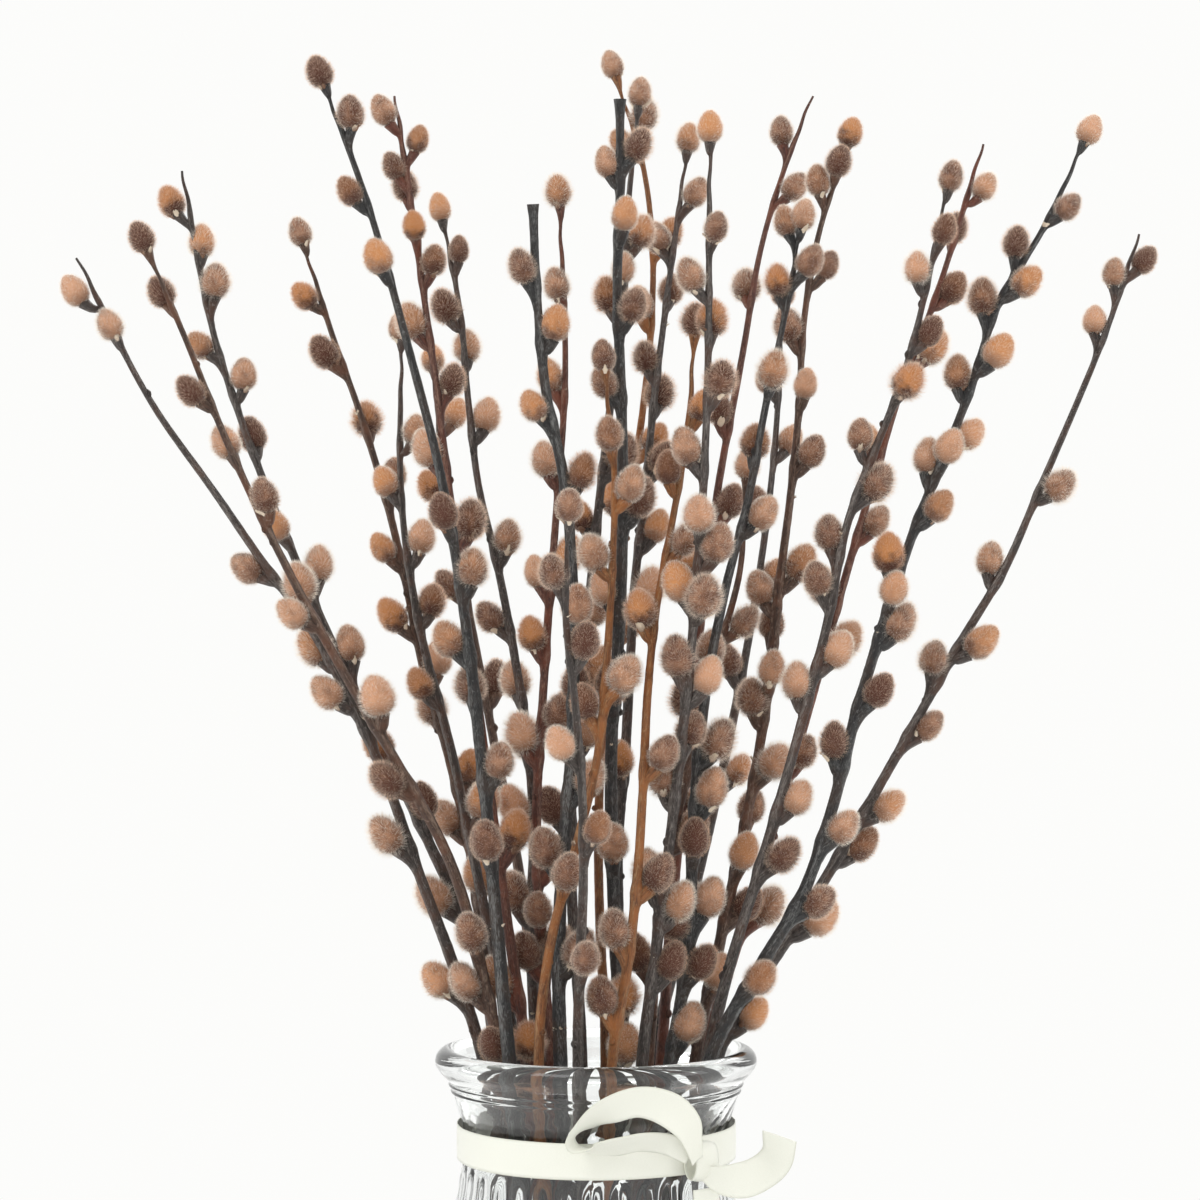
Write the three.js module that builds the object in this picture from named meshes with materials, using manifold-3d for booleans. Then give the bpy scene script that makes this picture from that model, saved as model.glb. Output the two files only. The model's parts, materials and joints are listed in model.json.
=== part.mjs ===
// Cut pussy-willow stems with catkins, standing in a fluted glass vase with a satin bow.
// Millimetres, +Z up, +X to the right of the front view, the front towards -Y.
// The origin is the centre of the vase's underside.

import * as THREE from "three";
import { mergeVertices } from "three/addons/utils/BufferGeometryUtils.js";
import Module from "manifold-3d";

const wasm = await Module();
wasm.setup();

// ---- Vase ----
const VASE_SIDES = 32;
const FOOT_RADIUS = 41;
const GLASS_WALL = 3.8;
const FLOOR_TOP = 12;
const LIP_CENTRE = [49.4, 151.8];
const LIP_RADIUS = 4.2;
const LIP_STEPS = 4;
const RIM_HEIGHT = LIP_CENTRE[1] + LIP_RADIUS;
// Outer wall as [radius, height], from the foot over the belly and the waist to the lip.
const OUTER_WALL = [[43, 3], [48.5, 22], [53.5, 54], [50.5, 86], [44.8, 112], [44.2, 129], [49.3, 146]];
const WALL_STEPS = 9;
const FLUTE_DEPTH = 0.5;
const FLUTE_TWIST = 0.5; // radians, over the whole height

// ---- Ribbon ----
const RIBBON_WIDTH = 11.7;
const RIBBON_THICKNESS = 0.7;
const BAND_RADIUS = 45.9;
const BAND_BOTTOM = 119.6;
const BOW_ANGLE = THREE.MathUtils.degToRad(-47); // where the knot sits, seen from above
const KNOT_HALF = [3, 5.6, 6.6]; // outwards, along the band, upwards
const KNOT_HEIGHT = 124;
const TOUCH_GAP = 0.35;
const BOW_RIGHT = new THREE.Vector3(1, 0, 0);
const BOW_WIDTHWISE = new THREE.Vector3(0, -0.76, -0.65); // the loop and the curled tail lie on this slant

// ---- Stems ----
const NODE_STEP = 30;
const STEM_SIDES = 5;
const TIP_RADIUS = 0.85;
const STUB_RADIUS = 1.4;
const TAPER = 1.7; // a stem keeps its girth most of the way and thins towards the tip
const FOOT_SPREAD = 0.36; // a foot stands this share of its mouth place from the vase's axis
const WATER_GAP = { halfWidth: 14, depth: 26 }; // kept free at the back for pouring water in

const BARK = {
  black: { color: 0x3b3a3a, girth: 5.2 },
  grey: { color: 0x55504d, girth: 4.6 },
  brown: { color: 0x6a4b38, girth: 4.6 },
  red: { color: 0x6b3626, girth: 4.2 },
  orange: { color: 0x9a5a2c, girth: 3.9 },
};

// ---- Catkins ----
const CATKIN_SIDES = 5;
const CATKIN_RADIUS = 5.5;
const CATKIN_LENGTH = 15.5;
const CATKIN_WAIST = { up: 0.32, width: 1 }; // its widest ring, as shares of its length and radius
const CATKIN_SHOULDER = { up: 0.72, width: 0.86 };
const CATKIN_BALLS = [{ up: 0.32, radius: 1 }, { up: 0.68, radius: 0.9 }]; // the balls that fill it
const CATKIN_LEAN = { middle: 0.32, spread: 0.12 }; // radians, away from the stem
const CATKIN_TURN = 0.45; // radians, about its bearing
const SPUR_REACH = 3;
const SPUR_RISE = 2.1;
const SIZES = { low: 1.05, high: 0.8, end: 0.82, spread: 0.09 };
const LAST_SHARE = 0.98; // the furthest along its last length that a stem carries anything

// ---- Settling ----
const CLEARANCE = 0.9;
const SETTLE_PASSES = 700;
const SIDE_YIELD = 0.3; // stems give way mostly in depth, so the fan's face keeps its outline
const DEPTH_LEAD = 0.8; // tells two stems that cross at one depth which goes in front
const LARGEST_PUSH = 1.2;
const STIFFNESS = 0.06;
const NEAR_HEIGHT = 8; // a ball and a length of stem further apart in height can't touch
const WALL_CHECKS = [0, 0.33, 0.66]; // shares of each length that are kept off the glass

// The fan of stems is laid out as it faces someone this far in front, with the eye this high.
// A stem that leans back is drawn out and one that leans forward is drawn in to match.
const FACING_DISTANCE = 1127;
const EYE_HEIGHT = 305;

// One row for each stem. line goes from the vase's mouth to the tip as [across, up] in the fan's
// face, depth is how far back it stands at the mouth and at the tip, and left, right, front and
// back give the heights where catkins sit on that side. end is catkin, bare or stub.
const STEMS = [
  { bark: "grey", depth: [0, -14], end: "bare",
    line: [[-39, 157], [-57, 208], [-73, 252], [-93, 292],
      [-115, 323], [-139, 358], [-161, 388], [-173, 419]],
    left: [172, 220, 269, 312, 402], right: [260, 300, 388], back: [282] },
  { bark: "brown", depth: [-14, -32], end: "catkin",
    line: [[-31, 157], [-39, 190], [-52, 226], [-75, 265],
      [-99, 308], [-119, 348], [-133, 383], [-149, 420]],
    left: [170, 240, 296, 369], right: [262, 330], front: [150, 186], back: [350, 401] },
  { bark: "grey", depth: [12, 24], end: "bare",
    line: [[-33, 157], [-42, 193], [-61, 235], [-84, 282],
      [-107, 335], [-124, 382], [-137, 430], [-138, 448]],
    left: [200, 385, 431], right: [228, 280, 307, 371, 402, 416], front: [249, 323], back: [352] },
  { bark: "brown", depth: [22, 46], end: "catkin",
    line: [[-34, 157], [-38, 195], [-45, 238], [-57, 280], [-67, 327], [-79, 368], [-92, 405], [-97, 422]],
    left: [225, 293, 316, 381, 401], right: [240, 276, 338], front: [204], back: [262, 358] },
  { bark: "grey", depth: [3, 26], end: "catkin",
    line: [[-27, 157], [-37, 200], [-46, 245], [-56, 285], [-64, 325], [-64, 362], [-65, 390]],
    left: [270, 337], right: [228, 296, 317, 354] },
  { bark: "black", depth: [-24, -34], end: "catkin",
    line: [[-30, 157], [-35, 218], [-40, 268], [-46, 315], [-56, 365], [-69, 410], [-81, 452], [-90, 475]],
    left: [284, 435], right: [242, 306, 458], front: [216, 326, 411], back: [268] },
  { bark: "red", depth: [-8, -4], end: "bare",
    line: [[-24, 157], [-30, 205], [-38, 262], [-44, 305], [-49, 340],
      [-54, 382], [-59, 418], [-63, 448], [-67, 473]],
    left: [170, 347, 390, 443, 461], right: [218, 322, 370, 410, 451], front: [150, 422], back: [436] },
  { bark: "grey", depth: [14, 34], end: "catkin",
    line: [[-20, 157], [-22, 190], [-21, 240], [-25, 272], [-31, 308],
      [-39, 342], [-44, 385], [-47, 415], [-51, 430]],
    left: [198, 228, 293, 395], right: [317, 358, 414], back: [250, 270, 382] },
  { bark: "black", depth: [-18, -46], end: "stub",
    line: [[-12, 157], [-12, 205], [-9, 240], [-7, 275], [-9, 338], [-15, 365], [-19, 398], [-21, 437]],
    left: [213, 363, 408], right: [180, 238, 339, 388], front: [295], back: [268] },
  { bark: "red", depth: [-2, -12], end: "catkin",
    line: [[-16, 157], [-20, 205], [-20, 242], [-17, 285], [-14, 325], [-11, 365], [-9, 412], [-12, 435]],
    left: [179, 251, 285, 306, 343, 371, 402], right: [181, 211, 260, 311], front: [194] },
  { bark: "orange", depth: [20, 64], end: "catkin",
    line: [[3, 157], [1, 205], [1, 240], [4, 285], [9, 325], [16, 372], [19, 415], [16, 448], [7, 478]],
    left: [330, 395, 452], right: [290, 352, 420, 458] },
  { bark: "grey", depth: [6, 16], end: "catkin",
    line: [[-5, 157], [-8, 205], [-8, 252], [-4, 288], [0, 328], [5, 372], [9, 405], [11, 440], [14, 468]],
    left: [228, 325, 398], right: [253, 274, 346, 420], front: [294, 408] },
  { bark: "black", depth: [-6, -22], end: "stub",
    line: [[8, 157], [6, 205], [5, 250], [8, 300], [9, 340], [8, 385], [7, 422], [9, 460], [8, 472]],
    left: [300, 370, 443], right: [330, 395, 449], front: [148, 165, 216, 268, 425] },
  { bark: "grey", depth: [14, 38], end: "catkin",
    line: [[9, 157], [7, 215], [10, 258], [13, 312], [16, 338], [20, 378], [25, 415], [28, 440], [30, 453]],
    left: [333, 378, 418], right: [301, 322, 345, 434], front: [243], back: [367, 402] },
  { bark: "grey", depth: [-22, -54], end: "catkin",
    line: [[16, 157], [20, 188], [24, 222], [31, 275], [34, 305],
      [36, 345], [37, 385], [38, 420], [36, 445], [38, 456]],
    left: [204, 236, 276, 301, 347, 405], right: [176, 196, 271, 315, 370],
    front: [298, 325, 422], back: [253, 390] },
  { bark: "red", depth: [22, 54], end: "bare",
    line: [[22, 157], [25, 200], [29, 240], [34, 290], [40, 338],
      [48, 382], [56, 427], [65, 455], [72, 473]],
    left: [310, 360, 453], right: [232, 330, 437], back: [403] },
  { bark: "brown", depth: [10, 18], end: "catkin",
    line: [[34, 157], [40, 185], [48, 222], [56, 265], [62, 318],
      [67, 358], [69, 395], [75, 430], [83, 455]],
    left: [263, 300, 388, 436], right: [197, 244, 309, 347, 410],
    front: [173, 213, 274, 369, 443], back: [228, 289] },
  { bark: "black", depth: [-12, -28], end: "catkin",
    line: [[25, 157], [31, 190], [33, 240], [37, 277], [43, 308],
      [50, 335], [57, 372], [64, 405], [68, 427]],
    left: [189, 403, 423], right: [155, 177, 196, 233, 250, 327, 411],
    front: [217, 373], back: [280, 349] },
  { bark: "grey", depth: [-10, -22], end: "catkin",
    line: [[38, 157], [48, 195], [62, 238], [73, 282], [79, 305],
      [87, 345], [101, 375], [110, 410], [117, 440]],
    left: [268, 303, 318, 351, 407], right: [214, 232, 281, 337, 388], front: [371, 421] },
  { bark: "red", depth: [20, 36], end: "bare",
    line: [[37, 157], [47, 190], [58, 225], [69, 262], [81, 305],
      [94, 350], [106, 388], [117, 415], [124, 437], [129, 457]],
    left: [300, 350], right: [196, 285, 325, 383, 403, 437], front: [247], back: [422] },
  { bark: "black", depth: [-17, -8], end: "catkin",
    line: [[40, 157], [56, 185], [74, 218], [82, 250], [93, 288],
      [106, 328], [123, 370], [137, 410], [151, 432], [162, 456]],
    left: [248, 310, 343, 371, 396, 415], right: [200, 223, 268, 290, 330, 355, 381, 406, 431],
    front: [173, 301, 348] },
  { bark: "grey", depth: [7, 12], end: "bare",
    line: [[42, 157], [55, 178], [80, 218], [100, 253], [118, 285],
      [136, 315], [150, 347], [163, 377], [175, 408], [181, 427]],
    left: [276, 309, 390, 406], right: [161, 194, 218, 232, 258, 286, 338, 413] },
  { bark: "orange", depth: [-31, -38], end: "catkin",
    line: [[-19, 157], [-12, 205], [-4, 232], [1, 258], [4, 300], [6, 345], [3, 380]],
    left: [262, 312], right: [272, 335], front: [206, 352] },
  { bark: "orange", depth: [-33, -36], end: "catkin",
    line: [[6, 157], [9, 172], [15, 225], [17, 265], [20, 298], [26, 332], [31, 362], [33, 392]],
    left: [163, 186, 292, 340], right: [206, 246, 318, 362] },
  { bark: "brown", depth: [4, 8], end: "catkin",
    line: [[18, 157], [19, 178], [22, 205], [27, 228], [36, 272], [46, 305], [50, 330], [50, 344]],
    left: [178, 262], right: [198, 222, 292], back: [244] },
  { bark: "brown", depth: [32, 92], end: "catkin",
    line: [[-19, 157], [-25, 210], [-35, 262], [-44, 310], [-51, 350], [-54, 380]],
    left: [238, 304, 336], right: [270, 322, 360] },
  { bark: "grey", depth: [34, 96], end: "catkin",
    line: [[20, 157], [32, 205], [45, 262], [55, 318], [60, 362], [62, 402]],
    left: [276, 330, 372], right: [242, 308, 352] },
  { bark: "grey", depth: [-34, -96], end: "catkin",
    line: [[-6, 157], [-5, 190], [-4, 225], [-6, 262], [-10, 300], [-9, 330]],
    left: [250, 306], right: [222, 282], front: [180] },
];

const BEARINGS = { right: 0, back: Math.PI / 2, left: Math.PI, front: -Math.PI / 2 };

/** Repeatable random numbers from 0 to 1. */
function dice(seed) {
  let state = seed;
  return () => {
    state = (state * 1664525 + 1013904223) % 4294967296;
    return state / 4294967296;
  };
}

const roll = dice(7);

/** A random number about middle, at most spread away from it. */
function about(middle, spread) {
  return middle + (2 * roll() - 1) * spread;
}

// ---------------------------------------------------------------- shared shapes

/** A geometry from corner places and triangles that share them. */
function solidGeometry(places, triangles) {
  const geometry = new THREE.BufferGeometry();
  geometry.setAttribute("position", new THREE.Float32BufferAttribute(places, 3));
  geometry.setIndex(triangles);
  return geometry;
}

/** Direction along a line of points at one of them. */
function heading(points, index) {
  const before = points[Math.max(index - 1, 0)];
  const after = points[Math.min(index + 1, points.length - 1)];
  return after.clone().sub(before).normalize();
}

/** A closed many-sided limb along a line of centres. An end of no radius is a point. */
function limb(centres, radii, sides) {
  const places = [];
  const rings = centres.map((centre, index) => {
    const along = heading(centres, index);
    const across = new THREE.Vector3(0, 1, 0).cross(along).normalize();
    const up = along.clone().cross(across);
    const first = places.length / 3;
    const corners = radii[index] > 0 ? sides : 1;
    for (let side = 0; side < corners; side += 1) {
      const turn = (2 * Math.PI * side) / sides;
      const corner = centre.clone();
      corner.addScaledVector(across, radii[index] * Math.cos(turn));
      corner.addScaledVector(up, radii[index] * Math.sin(turn));
      places.push(...corner.toArray());
    }
    return { first, corners };
  });
  const triangles = [];
  for (let index = 1; index < rings.length; index += 1) {
    joinRings(triangles, rings[index - 1], rings[index], sides);
  }
  capRing(triangles, rings[0], true);
  capRing(triangles, rings[rings.length - 1], false);
  return solidGeometry(places, triangles);
}

/** Adds the band of triangles between two rings, either of which may be a point. */
function joinRings(triangles, low, high, sides) {
  for (let side = 0; side < sides; side += 1) {
    const next = (side + 1) % sides;
    if (low.corners > 1) {
      triangles.push(low.first + side, low.first + next, high.first + (high.corners > 1 ? next : 0));
    }
    if (high.corners > 1) {
      triangles.push(low.first + (low.corners > 1 ? side : 0), high.first + next, high.first + side);
    }
  }
}

/** Closes an open end of a limb with a flat fan. */
function capRing(triangles, ring, facesBack) {
  for (let corner = 2; corner < ring.corners; corner += 1) {
    const fan = [ring.first, ring.first + corner - 1, ring.first + corner];
    triangles.push(...(facesBack ? fan.reverse() : fan));
  }
}

/** A closed geometry as a solid that can be joined to others. */
function toSolid(geometry) {
  const bare = geometry.clone();
  bare.deleteAttribute("normal");
  bare.deleteAttribute("uv");
  const merged = mergeVertices(bare);
  return new wasm.Manifold(new wasm.Mesh({
    numProp: 3,
    vertProperties: Float32Array.from(merged.attributes.position.array),
    triVerts: Uint32Array.from(merged.index.array),
  }));
}

/** Several closed geometries joined into one body. */
function joined(geometries) {
  const whole = geometries.map(toSolid).reduce((sum, piece) => sum.add(piece));
  const mesh = whole.getMesh();
  return solidGeometry(Array.from(mesh.vertProperties), Array.from(mesh.triVerts));
}

/** A named mesh with its finish. */
function part(name, geometry, finish) {
  const mesh = new THREE.Mesh(geometry, new THREE.MeshStandardMaterial(finish));
  mesh.name = name;
  return mesh;
}

// ---------------------------------------------------------------- vase

// The outer wall as a smooth run of [radius, height] points.
const wallCurve = new THREE.SplineCurve(OUTER_WALL.map(([r, z]) => new THREE.Vector2(r, z)));
const outerWall = wallCurve.getPoints(WALL_STEPS);

/** Radius of the glass's inner face at a height. */
function boreRadius(height) {
  const above = outerWall.findIndex((point) => point.y > height);
  const high = outerWall[above < 0 ? outerWall.length - 1 : Math.max(above, 1)];
  const low = outerWall[above < 0 ? outerWall.length - 2 : Math.max(above, 1) - 1];
  const share = THREE.MathUtils.clamp((height - low.y) / (high.y - low.y), 0, 1);
  return low.x + (high.x - low.x) * share - GLASS_WALL;
}

/** The vase's half section, from the axis under the foot round the lip to the axis on the floor. */
function vaseSection() {
  const section = [new THREE.Vector2(0, 0), new THREE.Vector2(FOOT_RADIUS, 0), ...outerWall];
  for (let step = 0; step <= LIP_STEPS; step += 1) {
    const turn = (Math.PI * step) / LIP_STEPS;
    const radius = LIP_CENTRE[0] + LIP_RADIUS * Math.cos(turn);
    section.push(new THREE.Vector2(radius, LIP_CENTRE[1] + LIP_RADIUS * Math.sin(turn)));
  }
  const inside = outerWall.filter((point) => point.y > FLOOR_TOP).reverse();
  section.push(...inside.map((point) => new THREE.Vector2(point.x - GLASS_WALL, point.y)));
  section.push(new THREE.Vector2(FOOT_RADIUS - 2 * GLASS_WALL, FLOOR_TOP), new THREE.Vector2(0, FLOOR_TOP));
  return section;
}

/** Presses shallow flutes into the outer wall and twists them a little. */
function pressFlutes(geometry) {
  const places = geometry.attributes.position;
  const axis = new THREE.Vector3(0, 0, 1);
  const point = new THREE.Vector3();
  for (let index = 0; index < places.count; index += 1) {
    point.fromBufferAttribute(places, index);
    const radius = Math.hypot(point.x, point.y);
    const side = Math.round((Math.atan2(point.y, point.x) / (2 * Math.PI)) * VASE_SIDES);
    const fluted = point.z > OUTER_WALL[0][1] && point.z < OUTER_WALL.at(-1)[1];
    if (fluted && radius > boreRadius(point.z) + GLASS_WALL / 2) {
      const swell = 1 + ((side % 2 ? 1 : -1) * FLUTE_DEPTH) / radius;
      point.set(point.x * swell, point.y * swell, point.z);
    }
    point.applyAxisAngle(axis, (FLUTE_TWIST * point.z) / RIM_HEIGHT);
    places.setXYZ(index, point.x, point.y, point.z);
  }
}

function vase() {
  const geometry = new THREE.LatheGeometry(vaseSection(), VASE_SIDES);
  geometry.rotateX(Math.PI / 2);
  pressFlutes(geometry);
  return part("vase", geometry, { color: 0xdfe6e4, roughness: 0.05, metalness: 0 });
}

// ---------------------------------------------------------------- ribbon

const SATIN = { color: 0xf3f2e6, roughness: 0.42, metalness: 0 };

/** The ribbon's band round the vase's waist. */
function ribbonBand() {
  const outside = BAND_RADIUS + RIBBON_THICKNESS;
  const top = BAND_BOTTOM + RIBBON_WIDTH;
  const section = [[BAND_RADIUS, BAND_BOTTOM], [outside, BAND_BOTTOM], [outside, top], [BAND_RADIUS, top],
    [BAND_RADIUS, BAND_BOTTOM]].map(([r, z]) => new THREE.Vector2(r, z));
  const geometry = new THREE.LatheGeometry(section, VASE_SIDES);
  geometry.rotateX(Math.PI / 2);
  return part("ribbon_band", geometry, SATIN);
}

/** The knot that the bow is tied with, just clear of the band. */
function ribbonKnot() {
  const geometry = new THREE.SphereGeometry(1, 10, 7);
  geometry.scale(...KNOT_HALF);
  const outwards = BAND_RADIUS + RIBBON_THICKNESS + TOUCH_GAP + KNOT_HALF[0];
  geometry.translate(outwards, 0, KNOT_HEIGHT);
  geometry.rotateZ(BOW_ANGLE);
  return part("ribbon_knot", geometry, SATIN);
}

/** A strip of ribbon: its edge follows path, as [along, up] on a plane, and its width is the ribbon's. */
function ribbonStrip(name, path, steps, origin, along, widthwise) {
  const line = new THREE.SplineCurve(path.map(([a, b]) => new THREE.Vector2(a, b))).getSpacedPoints(steps);
  const sides = line.map((point, index) => {
    const before = line[Math.max(index - 1, 0)];
    const after = line[Math.min(index + 1, steps)];
    const normal = new THREE.Vector2(before.y - after.y, after.x - before.x).setLength(RIBBON_THICKNESS / 2);
    return { left: point.clone().add(normal), right: point.clone().sub(normal) };
  });
  const outline = [...sides.map((side) => side.right), ...sides.map((side) => side.left).reverse()];
  const geometry = new THREE.ExtrudeGeometry(new THREE.Shape(outline), {
    depth: RIBBON_WIDTH,
    bevelEnabled: false,
  });
  geometry.translate(0, 0, -RIBBON_WIDTH / 2);
  const depthwise = widthwise.clone().normalize();
  const first = along.clone().addScaledVector(depthwise, -along.dot(depthwise)).normalize();
  const second = depthwise.clone().cross(first);
  geometry.applyMatrix4(new THREE.Matrix4().makeBasis(first, second, depthwise).setPosition(origin));
  return part(name, geometry, SATIN);
}

/** The bow: one loop to the left of the knot, one tail curling up to the right and one hanging down. */
function bow() {
  const outwards = new THREE.Vector3(Math.cos(BOW_ANGLE), Math.sin(BOW_ANGLE), 0);
  const sideways = new THREE.Vector3(-Math.sin(BOW_ANGLE), Math.cos(BOW_ANGLE), 0);
  const loop = ribbonStrip("ribbon_loop",
    [[-1, 3], [-2, 12], [-6, 20], [-14, 23.5], [-26, 20], [-31, 12.5], [-26, 7], [-14, 7], [-6, 4], [-3, -1]],
    22, new THREE.Vector3(29, -47, 126), BOW_RIGHT, BOW_WIDTHWISE);
  const curl = ribbonStrip("ribbon_tail_curl",
    [[0, 0], [9, -5], [18, -4.5], [23, 1], [21.5, 9], [17, 16]],
    14, new THREE.Vector3(41, -36, 121), BOW_RIGHT, BOW_WIDTHWISE);
  const hangOrigin = outwards.clone().multiplyScalar(BAND_RADIUS).setZ(KNOT_HEIGHT);
  const hang = ribbonStrip("ribbon_tail_hang",
    [[6.5, -8.5], [7, -18], [9, -30], [11.5, -43], [12, -56]],
    8, hangOrigin, outwards, sideways.negate());
  return [loop, curl, hang];
}

// ---------------------------------------------------------------- stems

/** How much the fan opens at a depth. */
function opening(depth) {
  return 1 + depth / FACING_DISTANCE;
}

/** The line of nodes of one stem, from its foot on the vase's floor to its tip. */
function stemNodes(row, footRadius) {
  const [mouth] = row.line;
  const top = row.line.at(-1)[1];
  const points = row.line.map(([across, up]) => {
    const share = (up - mouth[1]) / (top - mouth[1]);
    const depth = THREE.MathUtils.lerp(row.depth[0], row.depth[1], share);
    const scale = opening(depth);
    return new THREE.Vector3(across * scale, depth, EYE_HEIGHT + (up - EYE_HEIGHT) * scale);
  });
  const foot = points[0].clone().multiplyScalar(FOOT_SPREAD).setZ(FLOOR_TOP + footRadius);
  const curve = new THREE.CatmullRomCurve3([foot, ...points], false, "centripetal");
  return curve.getSpacedPoints(Math.round(curve.getLength() / NODE_STEP));
}

/** A place on a line of nodes. */
function placeOn(nodes, spot) {
  return nodes[spot.node].clone().lerp(nodes[spot.node + 1], spot.share);
}

/** Where a line of nodes reaches a height in the fan's face. */
function spotAtHeight(nodes, height) {
  const facing = nodes.map((node) => EYE_HEIGHT + (node.z - EYE_HEIGHT) / opening(node.y));
  const above = facing.findIndex((value) => value > height);
  const node = (above < 0 ? facing.length - 1 : Math.max(above, 1)) - 1;
  const share = (height - facing[node]) / (facing[node + 1] - facing[node]);
  return { node, share: THREE.MathUtils.clamp(share, 0, LAST_SHARE) };
}

/** A catkin that grows from a spot on a stem towards a bearing. size 1 is a full-grown one. */
function sideCatkin(nodes, spot, bearing, size) {
  const along = nodes[spot.node + 1].clone().sub(nodes[spot.node]).normalize();
  const turn = bearing + about(0, CATKIN_TURN);
  const out = new THREE.Vector3(Math.cos(turn), Math.sin(turn), 0);
  out.addScaledVector(along, -out.dot(along)).normalize();
  const lean = about(CATKIN_LEAN.middle, CATKIN_LEAN.spread);
  const axis = along.multiplyScalar(Math.cos(lean)).addScaledVector(out, Math.sin(lean));
  const base = out.clone().multiplyScalar(SPUR_REACH * size).addScaledVector(axis, SPUR_RISE);
  return { spot, base, axis, size };
}

/** The catkin that ends a stem. */
function endCatkin(nodes, size) {
  const axis = heading(nodes, nodes.length - 1);
  return { spot: { node: nodes.length - 2, share: LAST_SHARE }, base: axis, axis, size };
}

/** Size of the catkins near a stem's tip against those lower down. */
function catkinSize(share) {
  return about(THREE.MathUtils.lerp(SIZES.low, SIZES.high, share ** 3), SIZES.spread);
}

/** One stem of the bunch: its line, its thickness along it and its catkins. */
function plant(row) {
  const footRadius = BARK[row.bark].girth / 2;
  const nodes = stemNodes(row, footRadius);
  const last = nodes.length - 1;
  const tip = row.end === "stub" ? STUB_RADIUS : TIP_RADIUS;
  const radii = nodes.map((_, index) => THREE.MathUtils.lerp(footRadius, tip, (index / last) ** TAPER));
  const catkins = [];
  for (const [side, bearing] of Object.entries(BEARINGS)) {
    for (const height of row[side] ?? []) {
      const spot = spotAtHeight(nodes, height);
      catkins.push(sideCatkin(nodes, spot, bearing, catkinSize((spot.node + spot.share) / last)));
    }
  }
  if (row.end === "catkin") {
    catkins.push(endCatkin(nodes, SIZES.end));
  }
  return { row, nodes, radii, catkins };
}

// ---------------------------------------------------------------- settling

/** Every catkin ball of the bunch, with the stem that carries it. */
function catkinBalls(stems) {
  return stems.flatMap((stem, owner) => stem.catkins.flatMap((catkin) => CATKIN_BALLS.map((ball) => ({
    owner,
    spot: catkin.spot,
    offset: catkin.base.clone().addScaledVector(catkin.axis, CATKIN_LENGTH * catkin.size * ball.up),
    radius: CATKIN_RADIUS * catkin.size * ball.radius,
  }))));
}

/** Moves a stem at a spot by shifting the two nodes beside it. */
function shift(stem, spot, dx, dy) {
  const near = stem.nodes[spot.node];
  const far = stem.nodes[spot.node + 1];
  const low = 1 - spot.share;
  const scale = low * low + spot.share * spot.share;
  near.x += (dx * low) / scale;
  near.y += (dy * low) / scale;
  far.x += (dx * spot.share) / scale;
  far.y += (dy * spot.share) / scale;
}

/** Parts two spots of two stems whose centres are closer than need. Returns how much they lacked. */
function pushApart(first, firstSpot, second, secondSpot, gapVector, need) {
  const lack = need - gapVector.length();
  if (lack <= 0) {
    return 0;
  }
  const depthwise = gapVector.y + Math.sign(gapVector.y || 1) * DEPTH_LEAD;
  const length = Math.hypot(gapVector.x * SIDE_YIELD, depthwise);
  const push = Math.min(lack, LARGEST_PUSH) / 2 / length;
  shift(first, firstSpot, gapVector.x * SIDE_YIELD * push, depthwise * push);
  shift(second, secondSpot, -gapVector.x * SIDE_YIELD * push, -depthwise * push);
  return lack;
}

/** The closest spots of one length of a stem and one of another, and the gap between them. */
function closestSpots(a, i, b, j) {
  const p = a.nodes[i];
  const q = b.nodes[j];
  const u = a.nodes[i + 1].clone().sub(p);
  const v = b.nodes[j + 1].clone().sub(q);
  const w = p.clone().sub(q);
  const [uu, uv, vv, uw, vw] = [u.dot(u), u.dot(v), v.dot(v), u.dot(w), v.dot(w)];
  const spread = uu * vv - uv * uv;
  let s = spread > 1e-6 ? THREE.MathUtils.clamp((uv * vw - vv * uw) / spread, 0, 1) : 0.5;
  const t = THREE.MathUtils.clamp((uv * s + vw) / vv, 0, 1);
  s = THREE.MathUtils.clamp((uv * t - uw) / uu, 0, 1);
  return { s, t, gap: w.addScaledVector(u, s).addScaledVector(v, -t) };
}

/** Parts every pair of stems. Returns the largest lack. */
function partStems(stems) {
  let worst = 0;
  for (let a = 0; a < stems.length; a += 1) {
    for (let b = a + 1; b < stems.length; b += 1) {
      for (let i = 0; i < stems[a].nodes.length - 1; i += 1) {
        for (let j = 0; j < stems[b].nodes.length - 1; j += 1) {
          if (Math.abs(stems[a].nodes[i].z - stems[b].nodes[j].z) > NODE_STEP + CLEARANCE) {
            continue;
          }
          const { s, t, gap } = closestSpots(stems[a], i, stems[b], j);
          const need = stems[a].radii[i] + stems[b].radii[j] + CLEARANCE;
          const spots = [{ node: i, share: s }, { node: j, share: t }];
          worst = Math.max(worst, pushApart(stems[a], spots[0], stems[b], spots[1], gap, need));
        }
      }
    }
  }
  return worst;
}

/** Parts every catkin from the other stems. Returns the largest lack. */
function partCatkinsFromStems(stems, balls) {
  let worst = 0;
  for (const ball of balls) {
    const carrier = stems[ball.owner];
    const centre = placeOn(carrier.nodes, ball.spot).add(ball.offset);
    for (const other of stems) {
      if (other === carrier) {
        continue;
      }
      for (let j = 0; j < other.nodes.length - 1; j += 1) {
        const low = other.nodes[j];
        const high = other.nodes[j + 1];
        if (centre.z < low.z - NEAR_HEIGHT || centre.z > high.z + NEAR_HEIGHT) {
          continue;
        }
        const length = high.clone().sub(low);
        const share = THREE.MathUtils.clamp(centre.clone().sub(low).dot(length) / length.lengthSq(), 0, 1);
        const gap = centre.clone().sub(low).addScaledVector(length, -share);
        const need = ball.radius + other.radii[j] + CLEARANCE;
        worst = Math.max(worst, pushApart(carrier, ball.spot, other, { node: j, share }, gap, need));
      }
    }
  }
  return worst;
}

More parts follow.
